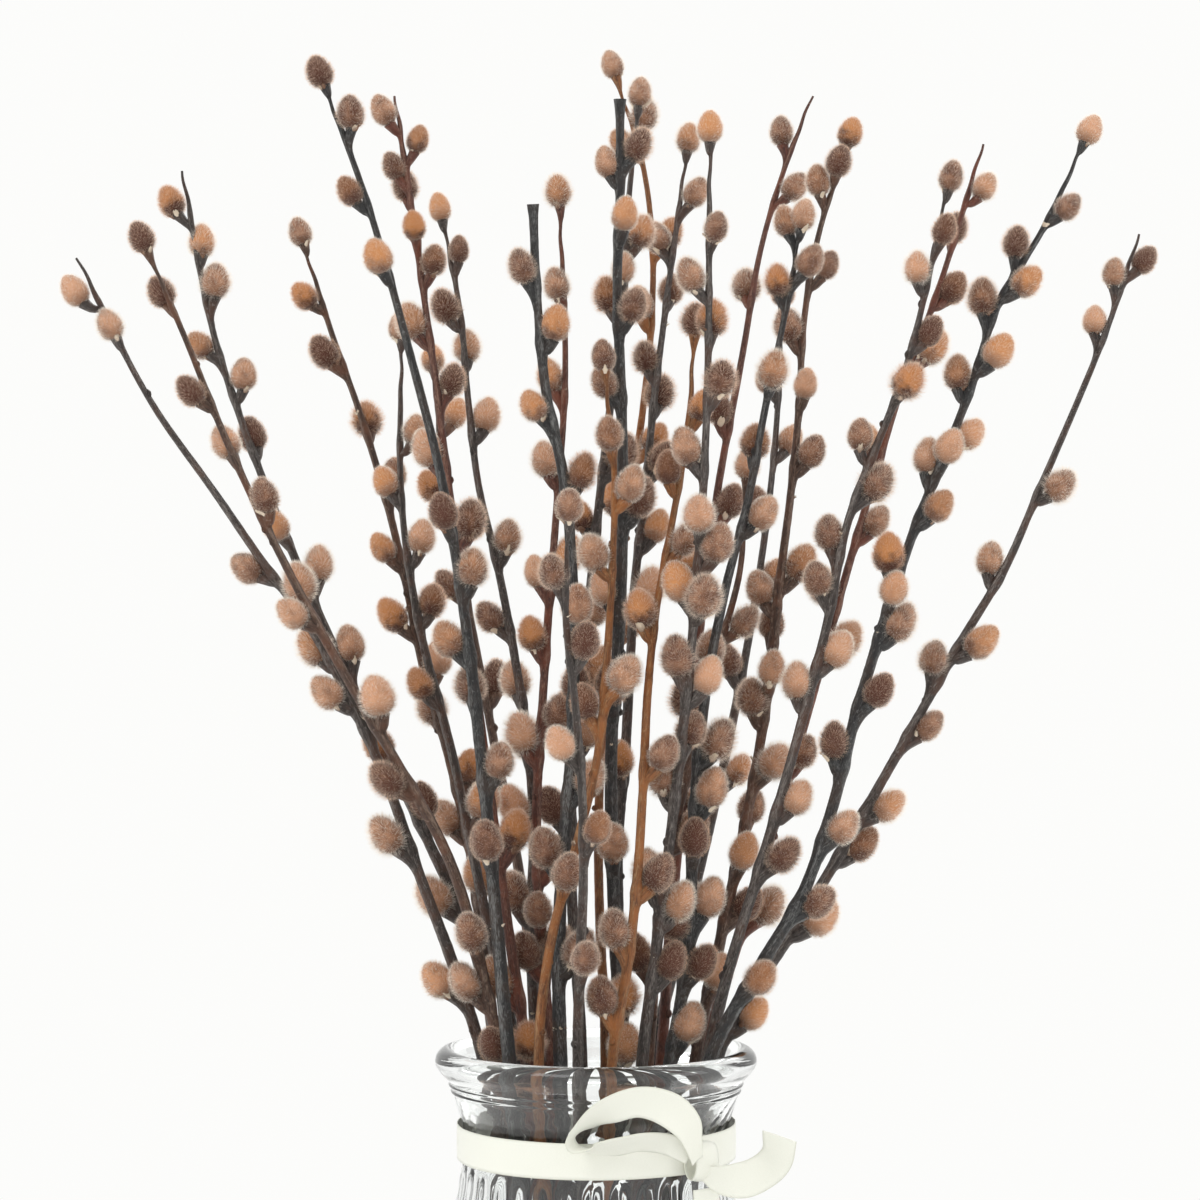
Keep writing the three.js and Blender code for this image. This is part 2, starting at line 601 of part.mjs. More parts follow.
/** Parts catkins of different stems. Returns the largest lack. */
function partCatkins(stems, balls) {
  let worst = 0;
  for (let a = 0; a < balls.length; a += 1) {
    const first = stems[balls[a].owner];
    for (let b = a + 1; b < balls.length; b += 1) {
      if (balls[a].owner === balls[b].owner) {
        continue;
      }
      const second = stems[balls[b].owner];
      const centre = placeOn(first.nodes, balls[a].spot).add(balls[a].offset);
      const gap = centre.sub(placeOn(second.nodes, balls[b].spot)).sub(balls[b].offset);
      const need = balls[a].radius + balls[b].radius + CLEARANCE;
      worst = Math.max(worst, pushApart(first, balls[a].spot, second, balls[b].spot, gap, need));
    }
  }
  return worst;
}

/** Keeps a round thing at a spot inside the glass and out of the pouring gap. */
function keepInside(stem, spot, centre, radius) {
  if (centre.z > RIM_HEIGHT + radius) {
    return;
  }
  const limit = boreRadius(centre.z) - radius - CLEARANCE;
  const reach = Math.hypot(centre.x, centre.y);
  if (reach > limit) {
    const scale = limit / reach - 1;
    shift(stem, spot, centre.x * scale, centre.y * scale);
  }
  if (Math.abs(centre.x) < WATER_GAP.halfWidth + radius && centre.y > WATER_GAP.depth - radius) {
    shift(stem, spot, 0, WATER_GAP.depth - radius - centre.y);
  }
}

/** Keeps the whole bunch inside the vase below its rim. */
function keepAllInside(stems, balls) {
  for (const stem of stems) {
    for (let node = 0; node < stem.nodes.length - 1 && stem.nodes[node].z < RIM_HEIGHT; node += 1) {
      for (const share of WALL_CHECKS) {
        const spot = { node, share };
        keepInside(stem, spot, placeOn(stem.nodes, spot), stem.radii[node]);
      }
    }
  }
  for (const ball of balls) {
    const stem = stems[ball.owner];
    keepInside(stem, ball.spot, placeOn(stem.nodes, ball.spot).add(ball.offset), ball.radius);
  }
}

/** Evens out a stem's shifts from where it grew, as a stiff stem does. */
function stiffen(stem, grown) {
  for (let node = 1; node < stem.nodes.length - 1; node += 1) {
    for (const axis of ["x", "y"]) {
      const moved = [-1, 0, 1].map((step) => stem.nodes[node + step][axis] - grown[node + step][axis]);
      stem.nodes[node][axis] += STIFFNESS * ((moved[0] + moved[2]) / 2 - moved[1]);
    }
  }
}

/** Lets the bunch settle until no stem or catkin touches another or the glass. */
function settle(stems) {
  const balls = catkinBalls(stems);
  const grown = stems.map((stem) => stem.nodes.map((node) => node.clone()));
  for (let pass = 0; pass < SETTLE_PASSES; pass += 1) {
    stems.forEach((stem, index) => stiffen(stem, grown[index]));
    const lacks = [partStems(stems), partCatkinsFromStems(stems, balls), partCatkins(stems, balls)];
    keepAllInside(stems, balls);
    if (Math.max(...lacks) < CLEARANCE / 4) {
      break;
    }
  }
}

// ---------------------------------------------------------------- solids of the stems

/** A catkin with the spur that joins it to its stem, as a closed body. */
function catkinGeometry(stem, catkin) {
  const root = placeOn(stem.nodes, catkin.spot);
  const base = root.clone().add(catkin.base);
  const along = (share) => base.clone().addScaledVector(catkin.axis, CATKIN_LENGTH * catkin.size * share);
  const centres = [root, along(CATKIN_WAIST.up), along(CATKIN_SHOULDER.up), along(1)];
  const widths = [0, CATKIN_WAIST.width, CATKIN_SHOULDER.width, 0];
  return limb(centres, widths.map((width) => width * CATKIN_RADIUS * catkin.size), CATKIN_SIDES);
}

/** A stem with all that grows on it, as one body. */
function stemMesh(stem, index) {
  const wood = limb(stem.nodes, stem.radii, STEM_SIDES);
  const growth = stem.catkins.map((catkin) => catkinGeometry(stem, catkin));
  const name = `willow_stem_${String(index + 1).padStart(2, "0")}`;
  const { color } = BARK[stem.row.bark];
  return part(name, joined([wood, ...growth]), { color, roughness: 0.75, metalness: 0 });
}

const arrangement = new THREE.Group();
const stems = STEMS.map(plant);
settle(stems);
arrangement.add(vase(), ribbonBand(), ribbonKnot(), ...bow(), ...stems.map(stemMesh));

export default arrangement;
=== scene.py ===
"""Pussy-willow stems with furry catkins, in a fluted glass vase that is tied with a satin ribbon."""

import json
import logging
import math
from dataclasses import dataclass, field
from enum import Enum
from itertools import combinations

import bmesh
import bpy
import numpy as np
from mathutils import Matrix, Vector, kdtree


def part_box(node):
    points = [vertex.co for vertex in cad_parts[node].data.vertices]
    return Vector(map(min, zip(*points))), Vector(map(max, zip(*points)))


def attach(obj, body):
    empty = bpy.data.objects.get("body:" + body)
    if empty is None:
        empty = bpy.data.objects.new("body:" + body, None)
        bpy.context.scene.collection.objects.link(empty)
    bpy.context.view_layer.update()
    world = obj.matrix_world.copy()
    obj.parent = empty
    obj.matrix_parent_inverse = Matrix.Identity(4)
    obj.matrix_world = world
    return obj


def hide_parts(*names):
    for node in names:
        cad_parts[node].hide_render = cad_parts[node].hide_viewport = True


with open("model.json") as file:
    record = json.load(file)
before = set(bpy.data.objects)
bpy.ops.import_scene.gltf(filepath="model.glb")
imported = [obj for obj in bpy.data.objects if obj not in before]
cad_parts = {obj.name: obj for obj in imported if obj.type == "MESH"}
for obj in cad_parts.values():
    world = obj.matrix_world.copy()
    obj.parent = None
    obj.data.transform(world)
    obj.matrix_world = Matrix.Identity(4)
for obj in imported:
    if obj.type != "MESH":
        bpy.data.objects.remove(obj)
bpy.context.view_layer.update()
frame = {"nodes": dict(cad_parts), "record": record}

LOG = logging.getLogger("willow")
MM = 0.001
TURN = 2 * math.pi
UP = np.array([0.0, 0.0, 1.0])
Colour = tuple[float, float, float]


# ---------------------------------------------------------------- shaders


class Value:
    """A number in a shader, whose sums add Math nodes."""

    def __init__(self, shader: "Shader", socket: bpy.types.NodeSocket) -> None:
        """Wraps a socket.

        Args:
            shader: the material that the socket belongs to.
            socket: an output socket.
        """
        self.shader, self.socket = shader, socket

    def maths(self, operation: str, *terms: "Value | float") -> "Value":
        """Adds one Math node.

        Args:
            operation: the Math node's operation.
            terms: its inputs, in order.

        Returns:
            The node's result.
        """
        node = self.shader.node("ShaderNodeMath", {"operation": operation}, dict(enumerate(terms)))
        return Value(self.shader, node.outputs[0])

    def __add__(self, other: "Value | float") -> "Value":
        """This and the other, summed."""
        return self.maths("ADD", self, other)

    __radd__ = __add__

    def __mul__(self, other: "Value | float") -> "Value":
        """This times the other."""
        return self.maths("MULTIPLY", self, other)

    __rmul__ = __mul__

    def __sub__(self, other: "Value | float") -> "Value":
        """This less the other."""
        return self.maths("SUBTRACT", self, other)

    def __rsub__(self, other: "Value | float") -> "Value":
        """The other less this."""
        return self.maths("SUBTRACT", other, self)

    def between(self, low: float, high: float) -> "Value":
        """A smooth rise from 0 at low to 1 at high.

        Args:
            low: the value that gives 0.
            high: the value that gives 1.

        Returns:
            The eased share.
        """
        settings = {"interpolation_type": "SMOOTHSTEP", "clamp": True}
        inputs = {"Value": self, "From Min": low, "From Max": high}
        node = self.shader.node("ShaderNodeMapRange", settings, inputs)
        return Value(self.shader, node.outputs["Result"])


class Shader:
    """A node material while it is put together."""

    def __init__(self, name: str) -> None:
        """Starts an empty material.

        Args:
            name: the material's name.
        """
        self.material = bpy.data.materials.new(name)
        self.material.use_nodes = True
        self.tree = self.material.node_tree
        self.tree.nodes.clear()

    def node(self, kind: str, settings: dict | None = None, inputs: dict | None = None) -> bpy.types.Node:
        """Adds a node of any kind.

        Args:
            kind: the node's type.
            settings: its properties.
            inputs: values or links of its sockets, by name or number.

        Returns:
            The node.
        """
        node = self.tree.nodes.new(kind)
        for key, setting in (settings or {}).items():
            setattr(node, key, setting)
        for key, value in (inputs or {}).items():
            value = value.socket if isinstance(value, Value) else value
            if isinstance(value, bpy.types.NodeSocket):
                self.tree.links.new(value, node.inputs[key])
            elif isinstance(value, tuple) and len(value) == 3 and node.inputs[key].type == "RGBA":
                node.inputs[key].default_value = (*value, 1)
            else:
                node.inputs[key].default_value = value
        return node

    def attribute(self, name: str) -> tuple[Value, Value, Value, Value, bpy.types.NodeSocket]:
        """Reads a mesh attribute.

        Args:
            name: the attribute's name.

        Returns:
            Its three parts and alpha as values, and its vector socket.
        """
        node = self.node("ShaderNodeAttribute", {"attribute_name": name})
        parts = self.node("ShaderNodeSeparateXYZ", None, {0: node.outputs["Vector"]})
        numbers = [Value(self, socket) for socket in (*parts.outputs, node.outputs["Alpha"])]
        return (*numbers, node.outputs["Vector"])

    def place(self) -> bpy.types.NodeSocket:
        """The surface's place in the object's own coordinates."""
        return self.node("ShaderNodeTexCoord").outputs["Object"]

    def stretched(self, vector: bpy.types.NodeSocket, scale: Colour) -> bpy.types.NodeSocket:
        """A vector scaled along each axis.

        Args:
            vector: the vector.
            scale: the factor along each axis.

        Returns:
            The scaled vector.
        """
        node = self.node("ShaderNodeVectorMath", {"operation": "MULTIPLY"}, {0: vector, 1: scale})
        return node.outputs[0]

    def noise(self, vector: bpy.types.NodeSocket, scale: float, detail: float, rough: float) -> Value:
        """Cloudy noise from 0 to 1.

        Args:
            vector: where it is read.
            scale: how fine it is.
            detail: its octaves.
            rough: the share that each octave adds.

        Returns:
            The noise.
        """
        inputs = {"Vector": vector, "Scale": scale, "Detail": detail, "Roughness": rough}
        return Value(self, self.node("ShaderNodeTexNoise", None, inputs).outputs[0])

    def mix(self, share: "Value | float", first: object, second: object) -> bpy.types.NodeSocket:
        """Mixes two colours.

        Args:
            share: how much of the second.
            first: a colour or socket.
            second: a colour or socket.

        Returns:
            The mixed colour.
        """
        node = self.node("ShaderNodeMix", {"data_type": "RGBA"}, {0: share, 6: first, 7: second})
        return node.outputs[2]

    def bump(self, height: Value, distance: float, strength: float = 1.0) -> bpy.types.NodeSocket:
        """A normal pushed about by a height.

        Args:
            height: the height, about 0 to 1.
            distance: how high 1 is, in metres.
            strength: how strongly it shows.

        Returns:
            The normal.
        """
        inputs = {"Height": height, "Distance": distance, "Strength": strength}
        return self.node("ShaderNodeBump", None, inputs).outputs[0]

    def finish(self, inputs: dict) -> bpy.types.Material:
        """Closes the material with a Principled shader.

        Args:
            inputs: the shader's sockets.

        Returns:
            The material.
        """
        surface = self.node("ShaderNodeBsdfPrincipled", None, inputs)
        self.node("ShaderNodeOutputMaterial", None, {"Surface": surface.outputs[0]})
        return self.material


@dataclass(frozen=True)
class BarkFinish:
    """Satin willow bark: mottled, lined along the stem and paler on its ridges, partly wear and partly
    painted highlight.
    """

    name: str
    slot: str
    deep: Colour
    middle: Colour
    worn_and_highlight: Colour
    blush: Colour

    def material(self) -> bpy.types.Material:
        """The bark as a node material."""
        shader = Shader(self.name)
        _, _, _, _, grain = shader.attribute("grain")
        rise, cut, share, _, _ = shader.attribute("growth")
        place = shader.place()
        blotch = shader.noise(place, 85, 4, 0.6)
        lines = shader.noise(shader.stretched(grain, (2.6, 2.6, 0.35)), 2.2, 4, 0.62)
        fine = shader.noise(shader.stretched(grain, (7.0, 7.0, 0.9)), 2.0, 3, 0.6)
        specks = shader.noise(place, 900, 2, 0.5)
        colour = shader.mix(lines.between(0.34, 0.62), self.deep, self.middle)
        colour = shader.mix(blotch.between(0.44, 0.66), colour, self.blush)
        # painted highlight and wear: raised ridges are paler, partly worn bark and partly painted highlight
        # where light catches them
        colour = shader.mix((fine * (0.55 + rise)).between(0.49, 0.78), colour, self.worn_and_highlight)
        colour = shader.mix(specks.between(0.62, 0.72) * 0.6, colour, self.worn_and_highlight)
        colour = shader.mix((1 - share).between(0.55, 1.0) * 0.35, colour, self.deep)
        colour = shader.mix(cut, colour, (0.62, 0.47, 0.31))
        height = lines * 0.45 + fine * 0.4 + specks * 0.15
        return shader.finish({
            "Base Color": colour,
            "Roughness": 0.34 + fine * 0.34,
            "Specular IOR Level": 0.5,
            "Normal": shader.bump(height, 0.0011, 1.0),
        })


@dataclass(frozen=True)
class FurFinish:
    """Silky catkin fur: brown or orange deep down, cream at the hair tips, each catkin in its own tone, with
    painted shade towards each catkin's base.
    """

    name: str = "silky_catkin_fur"

    def material(self) -> bpy.types.Material:
        """The fur as a node material."""
        shader = Shader(self.name)
        height, along, tone, warmth, _ = shader.attribute("coat")
        cloud = shader.noise(shader.place(), 260, 3, 0.55)
        shade = (tone + (cloud - 0.5) * 0.9).between(0.15, 1.0)
        body = shader.mix(shade, (0.095, 0.036, 0.022), (0.62, 0.34, 0.205))
        glow = warmth.between(0.55, 0.95) * 0.9 * (along + (cloud - 0.5) * 0.9).between(0.15, 0.55)
        body = shader.mix(glow, body, (0.56, 0.245, 0.088))
        # painted shade: the body darkens towards the catkin's base, where its lower side lies in shade
        body = shader.mix((1 - along).between(0.5, 1.0) * 0.75, body, (0.055, 0.022, 0.014))
        tip = shader.mix(tone.between(0.05, 0.75), (0.86, 0.64, 0.49), (1.0, 0.94, 0.85))
        colour = shader.mix(height.between(0.05, 0.42), body, tip)
        surface = shader.node("ShaderNodeBsdfPrincipled", None, {
            "Base Color": colour,
            "Roughness": 0.65,
            "Specular IOR Level": 0.25,
            "Sheen Weight": 0.7,
            "Sheen Roughness": 0.4,
            "Sheen Tint": (1.0, 0.93, 0.84, 1.0),
        })
        through = shader.node("ShaderNodeBsdfTranslucent", None, {"Color": colour})
        share = height.between(0.0, 0.3) * 0.55
        sides = {0: share, 1: surface.outputs[0], 2: through.outputs[0]}
        both = shader.node("ShaderNodeMixShader", None, sides)
        shader.node("ShaderNodeOutputMaterial", None, {"Surface": both.outputs[0]})
        return shader.material


@dataclass(frozen=True)
class ScaleFinish:
    """Papery bud scales and torn bark, from dark brown to pale straw."""

    name: str = "papery_bud_scale"

    def material(self) -> bpy.types.Material:
        """The scales as a node material."""
        shader = Shader(self.name)
        _, along, tone, _, _ = shader.attribute("coat")
        streak = shader.noise(shader.place(), 700, 3, 0.6)
        dark = shader.mix(streak, (0.10, 0.045, 0.028), (0.24, 0.13, 0.075))
        pale = shader.mix(streak, (0.55, 0.42, 0.28), (0.86, 0.78, 0.66))
        colour = shader.mix((tone + along * 0.3).between(0.35, 0.8), dark, pale)
        return shader.finish({"Base Color": colour, "Roughness": 0.62})


@dataclass(frozen=True)
class GlassFinish:
    """Clear pressed glass with the faint ripple of its mould."""

    name: str = "clear_pressed_glass"

    def material(self) -> bpy.types.Material:
        """The glass as a node material."""
        shader = Shader(self.name)
        ripple = shader.noise(shader.place(), 95, 2, 0.5)
        return shader.finish({
            "Base Color": (0.935, 0.95, 0.945),
            "Roughness": 0.012,
            "IOR": 1.5,
            "Transmission Weight": 1.0,
            "Normal": shader.bump(ripple, 0.0004, 0.2),
        })


@dataclass(frozen=True)
class SatinFinish:
    """Ivory satin ribbon: fine cross weave, soft lengthwise sheen and a tight selvedge."""

    name: str = "ivory_satin"

    def material(self) -> bpy.types.Material:
        """The satin as a node material."""
        shader = Shader(self.name)
        across, along, _, _, vector = shader.attribute("weave")
        threads = shader.noise(shader.stretched(vector, (160.0, 9.0, 1.0)), 2.0, 2, 0.5)
        cross = shader.noise(shader.stretched(vector, (6.0, 900.0, 1.0)), 1.4, 2, 0.5)
        edge = (across - 0.5) * (across - 0.5) * 4
        colour = shader.mix(threads.between(0.3, 0.7), (0.80, 0.81, 0.72), (0.88, 0.88, 0.80))
        colour = shader.mix(edge.between(0.86, 0.93) * 0.5, colour, (0.74, 0.75, 0.63))
        height = threads * 0.4 + cross * 0.4 + edge.between(0.86, 0.92) * 0.6
        return shader.finish({
            "Base Color": colour,
            "Roughness": 0.36 + cross * 0.12,
            "Sheen Weight": 0.3,
            "Sheen Roughness": 0.35,
            "Anisotropic": 0.4,
            "Specular IOR Level": 0.6,
            "Normal": shader.bump(height, 0.00012, 0.7),
        })


@dataclass(frozen=True)
class FloorFinish:
    """A plain matt white table."""

    name: str = "floor_white"

    def material(self) -> bpy.types.Material:
        """The table top as a node material."""
        shader = Shader(self.name)
        return shader.finish({"Base Color": (0.93, 0.93, 0.92), "Roughness": 0.8})


class Bark(Enum):
    """The five barks in the bunch, by the record's material slot."""

    GREY = BarkFinish("grey_willow_bark", "bark_grey", (0.020, 0.014, 0.012), (0.064, 0.050, 0.044),
                      (0.25, 0.22, 0.20), (0.088, 0.042, 0.027))
    BLACK = BarkFinish("black_willow_bark", "bark_black", (0.007, 0.007, 0.007), (0.026, 0.025, 0.026),
                       (0.19, 0.19, 0.185), (0.040, 0.026, 0.020))
    BROWN = BarkFinish("brown_willow_bark", "bark_brown", (0.026, 0.013, 0.009), (0.098, 0.050, 0.032),
                       (0.29, 0.20, 0.15), (0.142, 0.056, 0.028))
    RED = BarkFinish("red_willow_bark", "bark_red", (0.034, 0.011, 0.008), (0.136, 0.040, 0.024),
                     (0.32, 0.18, 0.13), (0.190, 0.052, 0.026))
    ORANGE = BarkFinish("orange_willow_bark", "bark_orange", (0.085, 0.027, 0.009), (0.290, 0.105, 0.030),
                        (0.44, 0.25, 0.12), (0.350, 0.120, 0.028))

    @classmethod
    def of(cls, slot: str) -> "Bark":
        """The bark whose finish fills a slot.

        Args:
            slot: a material slot of the record.

        Returns:
            The bark.
        """
        return next(bark for bark in cls if bark.value.slot == slot)


# ---------------------------------------------------------------- meshes


@dataclass
class Heap:
    """Mesh parts gathered into one piece, with the numbers that its finish reads."""

    points: list[np.ndarray] = field(default_factory=list)
    faces: list[np.ndarray] = field(default_factory=list)
    numbers: dict[str, list[np.ndarray]] = field(default_factory=dict)
    count: int = 0

    def add(self, points: np.ndarray, faces: list[np.ndarray], numbers: dict[str, np.ndarray]) -> None:
        """Adds one part.

        Args:
            points: its points, one row each.
            faces: arrays of point indices, one array for triangles and one for quads.
            numbers: a row of numbers for each point, by attribute.
        """
        self.points.append(points)
        self.faces.extend(block + self.count for block in faces if len(block))
        for name, rows in numbers.items():
            self.numbers.setdefault(name, []).append(rows)
        self.count += len(points)

    def piece(self, name: str, material: bpy.types.Material) -> bpy.types.Object:
        """Makes the piece.

        Args:
            name: its name.
            material: its finish.

        Returns:
            The object, at the origin.
        """
        points = np.concatenate(self.points)
        corners = np.concatenate([block.ravel() for block in self.faces]).astype(np.int32)
        totals = np.concatenate([np.full(len(block), block.shape[1], np.int32) for block in self.faces])
        mesh = bpy.data.meshes.new(name)
        mesh.vertices.add(len(points))
        mesh.vertices.foreach_set("co", points.astype(np.float32).ravel())
        mesh.loops.add(len(corners))
        mesh.loops.foreach_set("vertex_index", corners)
        mesh.polygons.add(len(totals))
        starts = np.concatenate([[0], np.cumsum(totals)[:-1]]).astype(np.int32)
        mesh.polygons.foreach_set("loop_start", starts)
        mesh.polygons.foreach_set("use_smooth", np.full(len(totals), True))
        mesh.update(calc_edges=True)
        for key, rows in self.numbers.items():
            values = np.concatenate(rows).astype(np.float32)
            kind = {3: "FLOAT_VECTOR", 4: "FLOAT_COLOR"}[values.shape[1]]
            layer = mesh.attributes.new(key, kind, "POINT")
            layer.data.foreach_set("vector" if kind == "FLOAT_VECTOR" else "color", values.ravel())
        mesh.materials.append(material)
        made = bpy.data.objects.new(name, mesh)
        bpy.context.scene.collection.objects.link(made)
        return made


def rest_on(piece: bpy.types.Object, slot: str, *nodes: str) -> None:
    """Fixes a piece to the part's body.

    Args:
        piece: the piece.
        slot: not used.
        nodes: the CAD nodes that it stands for.
    """
    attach(piece, "root")
    if nodes:
        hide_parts(*nodes)
    LOG.info("%s: %d faces", piece.name, len(piece.data.polygons))


def unit(rows: np.ndarray) -> np.ndarray:
    """Each row at length 1."""
    return rows / np.maximum(np.linalg.norm(rows, axis=-1, keepdims=True), 1e-12)


def smooth_line(knots: np.ndarray, values: np.ndarray, at: np.ndarray) -> np.ndarray:
    """A smooth curve through rows of numbers.

    Args:
        knots: rising parameters of the rows.
        values: the rows.
        at: the parameters to read.

    Returns:
        One row for each parameter.
    """
    slopes = np.gradient(values, knots, axis=0)
    span = np.clip(np.searchsorted(knots, at, "right") - 1, 0, len(knots) - 2)
    width = (knots[span + 1] - knots[span])[:, None]
    share = ((at - knots[span])[:, None] / width)
    first, second = values[span], values[span + 1]
    return (
        (2 * share**3 - 3 * share**2 + 1) * first
        + (share**3 - 2 * share**2 + share) * width * slopes[span]
        + (3 * share**2 - 2 * share**3) * second
        + (share**3 - share**2) * width * slopes[span + 1]
    )


def carried_frames(line: np.ndarray, start: np.ndarray) -> tuple[np.ndarray, np.ndarray, np.ndarray]:
    """Axes carried along a line without twisting.

    Args:
        line: the line's points.
        start: roughly the first side axis.

    Returns:
        The line's heading and two side axes at each point.
    """
    ahead = unit(np.gradient(line, axis=0))
    side = np.empty_like(ahead)
    last = start
    for index, heading in enumerate(ahead):
        last = last - heading * last.dot(heading)
        last = last / np.linalg.norm(last)
        side[index] = last
    return ahead, side, np.cross(ahead, side)


def tube_faces(rings: int, sides: int) -> list[np.ndarray]:
    """Faces of a tube of rings with a centre point at each end, which come after the rings.

    Args:
        rings: how many rings.
        sides: points in a ring.

    Returns:
        The quads and the triangles.
    """
    ring = np.arange(rings - 1)[:, None] * sides
    here, beside = np.arange(sides), (np.arange(sides) + 1) % sides
    quads = np.stack([ring + here, ring + beside, ring + sides + beside, ring + sides + here], -1)
    low, high = rings * sides, rings * sides + 1
    last = (rings - 1) * sides
    bottom = np.stack([np.full(sides, low), beside, here], -1)
    top = np.stack([np.full(sides, high), last + here, last + beside], -1)
    return [quads.reshape(-1, 4), np.concatenate([bottom, top])]


# ---------------------------------------------------------------- what the CAD says of the stems


@dataclass
class Catkin:
    """Where one catkin sits: its base, its axis and its size against the usual one."""

    base: np.ndarray
    axis: np.ndarray
    size: float
    tip: np.ndarray
    ends_stem: bool = False


@dataclass
class StemPlan:
    """A stem's centre line, thickness and catkins, as its CAD node has them."""

    centres: np.ndarray
    radii: np.ndarray
    catkins: list[Catkin]

    SIDES = 5
    LENGTH = 15.5 * MM
    RADIUS = 5.5 * MM
    SHOULDER = (0.72, 0.86)  # the catkin's last ring: its share of the length and of the radius
    THICKEST = 2.75 * MM
    NEAR = 0.06 * MM
    CONE = ((1 - SHOULDER[0]) * LENGTH, SHOULDER[1] * RADIUS)  # a tip's cone: its height and its radius
    EVEN = 0.004  # how far a length of 1 may be off
    FEWEST = 3  # edges that must be left of a catkin's tip
    SMALLEST, LARGEST = 0.6, 1.3  # a catkin's size against the usual one
    FLATTEST = 0.05  # three edges that span less than this are no cone
    STEP_OFF = 1.0  # how many degrees a catkin's edges may be off their even turns
    EDGE_OFF = 0.02  # how far a ring's two edges may differ, as a share
    CORNER_OFF = 0.03  # how far a ring's corner may be off, in radians
    APART = 2 * MM  # rings closer than this are one
    SHORTEST_REACH = 4 * MM  # from the last ring to the catkin that ends a stem
    WIDEST_REACH = 0.32  # how far aside that catkin may sit, as a share of the way to it
    LEAST_ALIGNED = 0.9
    END_RADIUS = 0.85 * MM

    @classmethod
    def of(cls, node: str) -> "StemPlan":
        """Reads a stem node.

        Args:
            node: the node's name.

        Returns:
            Its plan.
        """
        body = bmesh.new()
        body.from_mesh(frame["nodes"][node].data)
        bmesh.ops.remove_doubles(body, verts=body.verts, dist=2e-6)
        body.verts.ensure_lookup_table()
        points = np.array([vert.co for vert in body.verts])
        beside = [[edge.other_vert(vert).index for edge in vert.link_edges] for vert in body.verts]
        body.free()
        catkins = cls.catkins_among(points, beside)
        centres, radii = cls.rings_among(points, beside)
        return cls(*cls.closed_by(centres, radii, catkins), catkins)

    @classmethod
    def catkins_among(cls, points: np.ndarray, beside: list[list[int]]) -> list[Catkin]:
        """Finds the catkins by their tips, each a point with an even cone of edges below it.

        Args:
            points: the node's points.
            beside: each point's neighbours.

        Returns:
            The catkins.
        """
        found: list[Catkin] = []
        for tip, around in enumerate(beside):
            edges = points[around] - points[tip]
            gaps = np.linalg.norm(edges, axis=1)
            for three in combinations(range(len(around)), cls.FEWEST):
                axis = cls.cone_axis(edges[list(three)] / gaps[list(three), None])
                size = gaps[list(three)].max() / math.hypot(*cls.CONE)
                if axis is None or not cls.SMALLEST < size < cls.LARGEST:
                    continue
                base = points[tip] - axis * cls.LENGTH * size
                twins = [other for other in found if np.linalg.norm(points[tip] - other.tip) < MM]
                if not twins:
                    found.append(Catkin(base, axis, size, points[tip]))
                elif size > twins[0].size:
                    twins[0].base, twins[0].size = base, size
        return found

    @classmethod
    def cone_axis(cls, edges: np.ndarray) -> np.ndarray | None:
        """The axis of the catkin whose tip has these three edges.

        Args:
            edges: the way of each edge from the tip.

        Returns:
            The axis, tip upwards, or None where they are no catkin's.
        """
        slope = cls.CONE[0] / math.hypot(*cls.CONE)
        if abs(np.linalg.det(edges)) < cls.FLATTEST:
            return None
        down = np.linalg.solve(edges, np.full(3, slope))
        if abs(np.linalg.norm(down) - 1) > cls.EVEN:
            return None
        flat = unit(edges - down * slope)
        cosines = [flat[0] @ flat[1], flat[1] @ flat[2], flat[2] @ flat[0]]
        steps = np.degrees(np.arccos(np.clip(cosines, -1, 1)))
        step = 360 / cls.SIDES
        off = np.abs(steps - np.round(steps / step) * step).max()
        return -unit(down) if off < cls.STEP_OFF else None

    @classmethod
    def rings_among(cls, points: np.ndarray, beside: list[list[int]]) -> tuple[np.ndarray, np.ndarray]:
        """Finds the stem's rings, the small regular pentagons.

        Args:
            points: the node's points.
            beside: each point's neighbours.

        Returns:
            The rings' centres from the foot up, and their radii.
        """
        tree = kdtree.KDTree(len(points))
        for index, point in enumerate(points):
            tree.insert(point, index)
        tree.balance()
        corner = math.pi * (1 - 2 / cls.SIDES)
        rings: dict[tuple[int, ...], tuple[np.ndarray, float]] = {}
        for here, around in enumerate(beside):
            for left, right in combinations(around, 2):
                first, second = points[left] - points[here], points[right] - points[here]
                edge, other = np.linalg.norm(first), np.linalg.norm(second)
                if abs(edge - other) > cls.EDGE_OFF * edge:
                    continue
                bend = math.acos(max(-1.0, min(1.0, first.dot(second) / edge / other)))
                if abs(bend - corner) > cls.CORNER_OFF:
                    continue
                radius = edge / (2 * math.sin(math.pi / cls.SIDES))
                if radius > cls.THICKEST:
                    continue
                inwards = unit(first + second)
                centre = points[here] + inwards * radius
                across = unit(np.cross(np.cross(first, second), inwards))
                members = []
                for step in range(cls.SIDES):
                    angle = TURN * step / cls.SIDES
                    guess = centre - (inwards * math.cos(angle) + across * math.sin(angle)) * radius
                    _, index, gap = tree.find(guess)
                    if gap < cls.NEAR:
                        members.append(index)
                if len(members) >= cls.SIDES - 1:
                    key = tuple(round(float(x) / MM) for x in centre)
                    rings[key] = (centre, radius)
        kept: list[tuple[np.ndarray, float]] = []
        for centre, radius in sorted(rings.values(), key=lambda ring: ring[0][2]):
            if not kept or np.linalg.norm(centre - kept[-1][0]) > cls.APART:
                kept.append((centre, radius))
        return np.array([ring[0] for ring in kept]), np.array([ring[1] for ring in kept])

